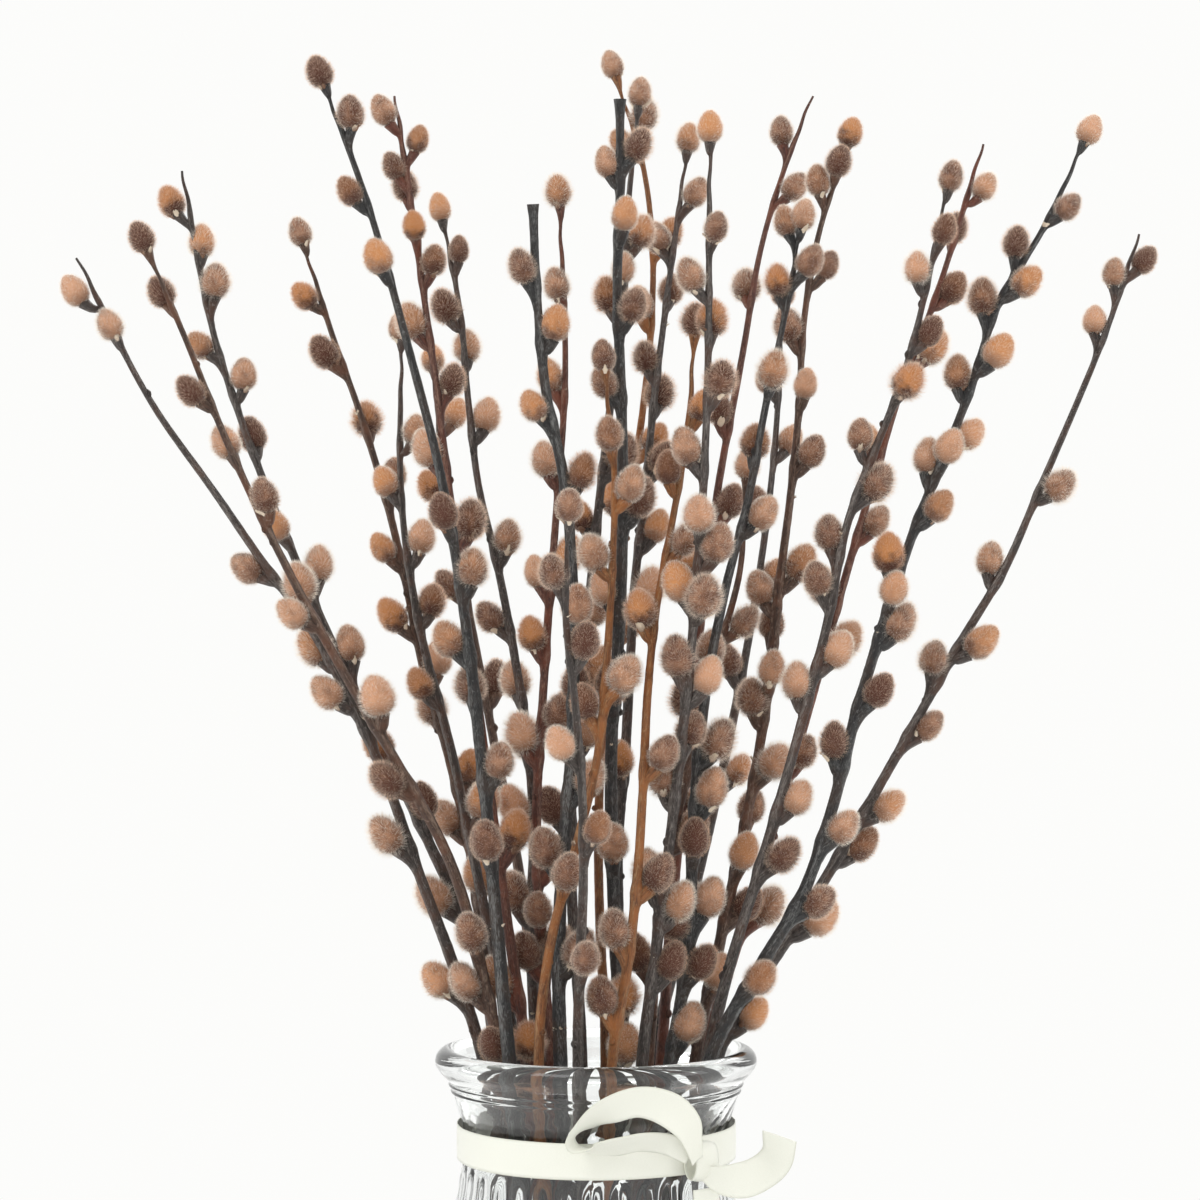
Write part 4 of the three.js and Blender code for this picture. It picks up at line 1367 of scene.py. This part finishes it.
@dataclass
class Ribbon:
    """The satin ribbon round the vase's waist: its band, its bow and its knot."""

    finish: bpy.types.Material
    waist: float = 46.3 * MM
    bottom: float = 119.6 * MM
    width: float = 11.7 * MM
    bow_turn: float = math.radians(-47)
    knot_depth: float = 2.7 * MM

    def build(self) -> None:
        """Builds the five pieces."""
        self.band()
        self.loop()
        self.curl()
        self.hanging()
        self.knot()

    def strip(self, name: str, node: str, line: np.ndarray, widthwise: np.ndarray, held: str, rests: str,
              **more: object) -> None:
        """Builds one strip of this ribbon.

        Args:
            name: the piece's name.
            node: the CAD node that it stands for.
            line: its middle line.
            widthwise: the way its width lies at each point.
            held: not used.
            rests: not used.
            more: other sizes of the strip.
        """
        RibbonStrip(name, node, line, widthwise, held, rests, self.finish, **more).build()

    def band(self) -> None:
        """The band round the waist, a little slack and slanting."""
        turn = np.linspace(0, TURN, 240, endpoint=False)
        radius = self.waist + (0.12 * np.sin(3 * turn + 1) + 0.08 * np.sin(7 * turn)) * MM
        height = self.bottom + self.width / 2 + 0.25 * MM * np.sin(turn + 0.6)
        line = np.stack([radius * np.cos(turn), radius * np.sin(turn), height], -1)
        lean = np.stack([np.cos(turn), np.sin(turn), 0 * turn], -1) * 0.02 * np.sin(5 * turn)[:, None]
        self.strip("satin_band", "ribbon_band", line, UP - lean, "stretched", "vase_glass",
                   closed=True, crown=0.12 * MM)

    @staticmethod
    def along(path: list[tuple[float, ...]], steps: int) -> np.ndarray:
        """A smooth line through points in millimetres.

        Args:
            path: the points.
            steps: how many points the line gets.

        Returns:
            The line in metres.
        """
        rows = np.array(path) * MM
        knots = np.r_[0, np.cumsum(np.linalg.norm(np.diff(rows, axis=0), axis=1))]
        return smooth_line(knots, rows, np.linspace(0, knots[-1], steps))

    @staticmethod
    def routed(stations: list[tuple[Colour, Colour, float]], steps: int) -> tuple[np.ndarray, np.ndarray]:
        """A strip's route through the air.

        Args:
            stations: places in millimetres, each with the way of the ribbon's width and the share of it
                that is left where the ribbon is gathered.
            steps: how many points the route gets.

        Returns:
            The line in metres and the way of the width along it.
        """
        places = np.array([place for place, _, _ in stations]) * MM
        ways = unit(np.array([way for _, way, _ in stations], float))
        spread = np.array([[share] for _, _, share in stations])
        knots = np.r_[0, np.cumsum(np.linalg.norm(np.diff(places, axis=0), axis=1))]
        at = np.linspace(0, knots[-1], steps)
        widths = unit(smooth_line(knots, ways, at)) * np.clip(smooth_line(knots, spread, at), 0.2, 1)
        return smooth_line(knots, places, at), widths

    def loop(self) -> None:
        """The loop that stands to the left of the knot: up, over to the left and back inside."""
        line, widthwise = self.routed([
            ((32.5, -46.0, 125.5), (0.70, 0.45, 0.50), 0.4),
            ((31.2, -51.5, 131.5), (0.85, 0.40, 0.35), 0.55),
            ((28.8, -56.0, 138.5), (0.88, 0.20, 0.42), 0.85),
            ((23.0, -59.0, 144.0), (0.50, -0.20, 0.84), 1.0),
            ((14.0, -61.0, 146.6), (0.04, -0.45, 0.89), 1.0),
            ((4.5, -60.5, 143.8), (-0.28, -0.60, 0.75), 1.0),
            ((-2.8, -57.0, 138.6), (-0.34, -0.88, 0.34), 1.0),
            ((-6.6, -52.8, 133.4), (-0.25, -0.96, 0.05), 1.0),
            ((-2.5, -50.5, 130.2), (0.00, -0.92, 0.38), 1.0),
            ((6.0, -51.0, 130.8), (0.05, -0.80, 0.60), 1.0),
            ((15.0, -51.0, 132.4), (0.16, -0.72, 0.66), 0.9),
            ((23.5, -49.0, 131.2), (0.30, -0.45, 0.82), 0.7),
            ((30.0, -45.5, 127.0), (0.50, 0.15, 0.80), 0.45),
        ], 120)
        self.strip("satin_loop", "ribbon_loop", line, widthwise, "gathered", "satin_knot")

    def curl(self) -> None:
        """The tail that runs right and curls up towards the front."""
        line, widthwise = self.routed([
            ((35.0, -38.5, 120.5), (-0.25, 0.10, -0.95), 0.45),
            ((40.3, -39.0, 118.4), (-0.22, 0.05, -0.96), 0.8),
            ((47.5, -40.5, 118.6), (0.05, -0.15, -0.98), 1.0),
            ((54.0, -44.0, 122.2), (0.42, -0.40, -0.80), 1.0),
            ((57.8, -49.0, 127.6), (0.74, -0.42, -0.52), 1.0),
            ((58.4, -53.0, 134.6), (0.88, -0.25, -0.40), 1.0),
        ], 70)
        self.strip("satin_tail_curl", "ribbon_tail_curl", line, widthwise, "hung", "satin_knot")

    def bow_axes(self) -> tuple[np.ndarray, np.ndarray]:
        """The ways out of the band and along it where the bow sits."""
        out = np.array([math.cos(self.bow_turn), math.sin(self.bow_turn), 0])
        return out, np.array([-out[1], out[0], 0])

    def hanging(self) -> None:
        """The tail that hangs down the vase."""
        out, side = self.bow_axes()
        start = out * 45.6 * MM + UP * 124 * MM
        path = [(6.5, -8.5), (7, -18), (9, -30), (11.5, -43), (12, -56)]
        flat = self.along([(x, y, 0) for x, y in path], 50)
        line = start + flat[:, :1] * out + flat[:, 1:2] * UP
        self.strip("satin_tail_hang", "ribbon_tail_hang", line, np.tile(side, (50, 1)), "hung", "satin_knot")

    def knot(self) -> None:
        """The knot, a short wrap of ribbon pulled tight over the band."""
        low, high = (np.array(corner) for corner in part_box("ribbon_knot"))
        middle, half = (low + high) / 2, (high - low) / 2
        out, side = self.bow_axes()
        turn = np.linspace(0, TURN, 48, endpoint=False)
        line = (middle + out * (self.knot_depth * np.cos(turn))[:, None]
                + UP * ((half[2] - 0.6 * MM) * np.sin(turn))[:, None])
        self.strip("satin_knot", "ribbon_knot", line, np.tile(side, (48, 1)), "folded", "satin_band",
                   closed=True, width=10.2 * MM, crown=-0.9 * MM)


# ---------------------------------------------------------------- studio


@dataclass
class Studio:
    """A white table under soft light from all round, with a level camera in front."""

    distance: float = 1.127
    eye_height: float = 0.305
    aside: float = 0.00133
    lens: float = 101.4
    surround: Colour = (0.975, 0.975, 0.962)
    table_radius: float = 0.55

    def build(self) -> None:
        """Sets the table, the light and the camera."""
        scene = bpy.context.scene
        scene.view_settings.view_transform = "Standard"
        self.table()
        self.light()
        camera = bpy.data.cameras.new("camera")
        camera.lens, camera.sensor_width = self.lens, 36
        camera.clip_start, camera.clip_end = 0.05, 20
        stand = bpy.data.objects.new("camera", camera)
        stand.location = (self.aside, -self.distance, self.eye_height)
        stand.rotation_euler = (math.pi / 2, 0, 0)
        scene.collection.objects.link(stand)
        scene.camera = stand

    def table(self) -> None:
        """The round table top, just under the vase's foot."""
        bpy.ops.object.select_all(action="DESELECT")
        bpy.ops.mesh.primitive_cylinder_add(vertices=96, radius=self.table_radius, depth=0.02,
                                            location=(0, 0, -0.0102))
        top = bpy.context.object
        top.name = "table"
        top.data.materials.append(FloorFinish().material())

    def light(self) -> None:
        """White surroundings and three soft boxes."""
        world = bpy.data.worlds.new("surround")
        bpy.context.scene.world = world
        world.use_nodes = True
        backdrop = world.node_tree.nodes["Background"]
        backdrop.inputs["Color"].default_value = (*self.surround, 1)
        backdrop.inputs["Strength"].default_value = 1.0
        for name, place, size, power in (
            ("key", (-0.9, -1.2, 1.5), 0.9, 9.0),
            ("side", (1.4, -0.4, 0.8), 0.7, 3.0),
            ("back", (0.3, 1.3, 1.2), 0.8, 8.0),
        ):
            lamp = bpy.data.lights.new(name, "AREA")
            lamp.energy, lamp.size = power, size
            holder = bpy.data.objects.new(name, lamp)
            holder.location = place
            aim = Vector((0, 0, 0.28)) - Vector(place)
            holder.rotation_euler = aim.to_track_quat("-Z", "Y").to_euler()
            bpy.context.scene.collection.objects.link(holder)


# ---------------------------------------------------------------- the bunch


@dataclass
class Bunch:
    """All the stems of the arrangement."""

    seed: int = 2400

    def build(self) -> None:
        """Builds every stem with its fur, and the scales of all."""
        slots = {row["node"]: row["material_slot"] for row in frame["record"]["subparts"]}
        nodes = sorted(name for name in frame["nodes"] if name.startswith("willow_stem_"))
        barks = {bark: bark.value.material() for bark in Bark}
        fur = FurFinish().material()
        patterns = [CatkinPattern(coat, 31 + index) for index, coat in enumerate(Coat)]
        plans = []
        for index, node in enumerate(nodes):
            plan = StemPlan.of(node)
            number = node.rsplit("_", 1)[1]
            bark = barks[Bark.of(slots[node])]
            Stem(f"bark_{number}", node, plan, slots[node], bark, self.seed + index).build()
            Fur(f"fur_{number}", plan, patterns, fur, self.seed + 100 + index).build()
            LOG.info("%s: %d rings, %d catkins", node, len(plan.centres), len(plan.catkins))
            plans.append(plan)
        BudScales(ScaleFinish().material()).build(plans)


def main() -> None:
    """Builds the arrangement and its studio."""
    logging.basicConfig(level=logging.INFO, format="%(name)s %(message)s")
    Studio().build()
    Vase(GlassFinish().material()).build()
    Ribbon(SatinFinish().material()).build()
    Bunch().build()


if __name__ == "__main__":
    main()
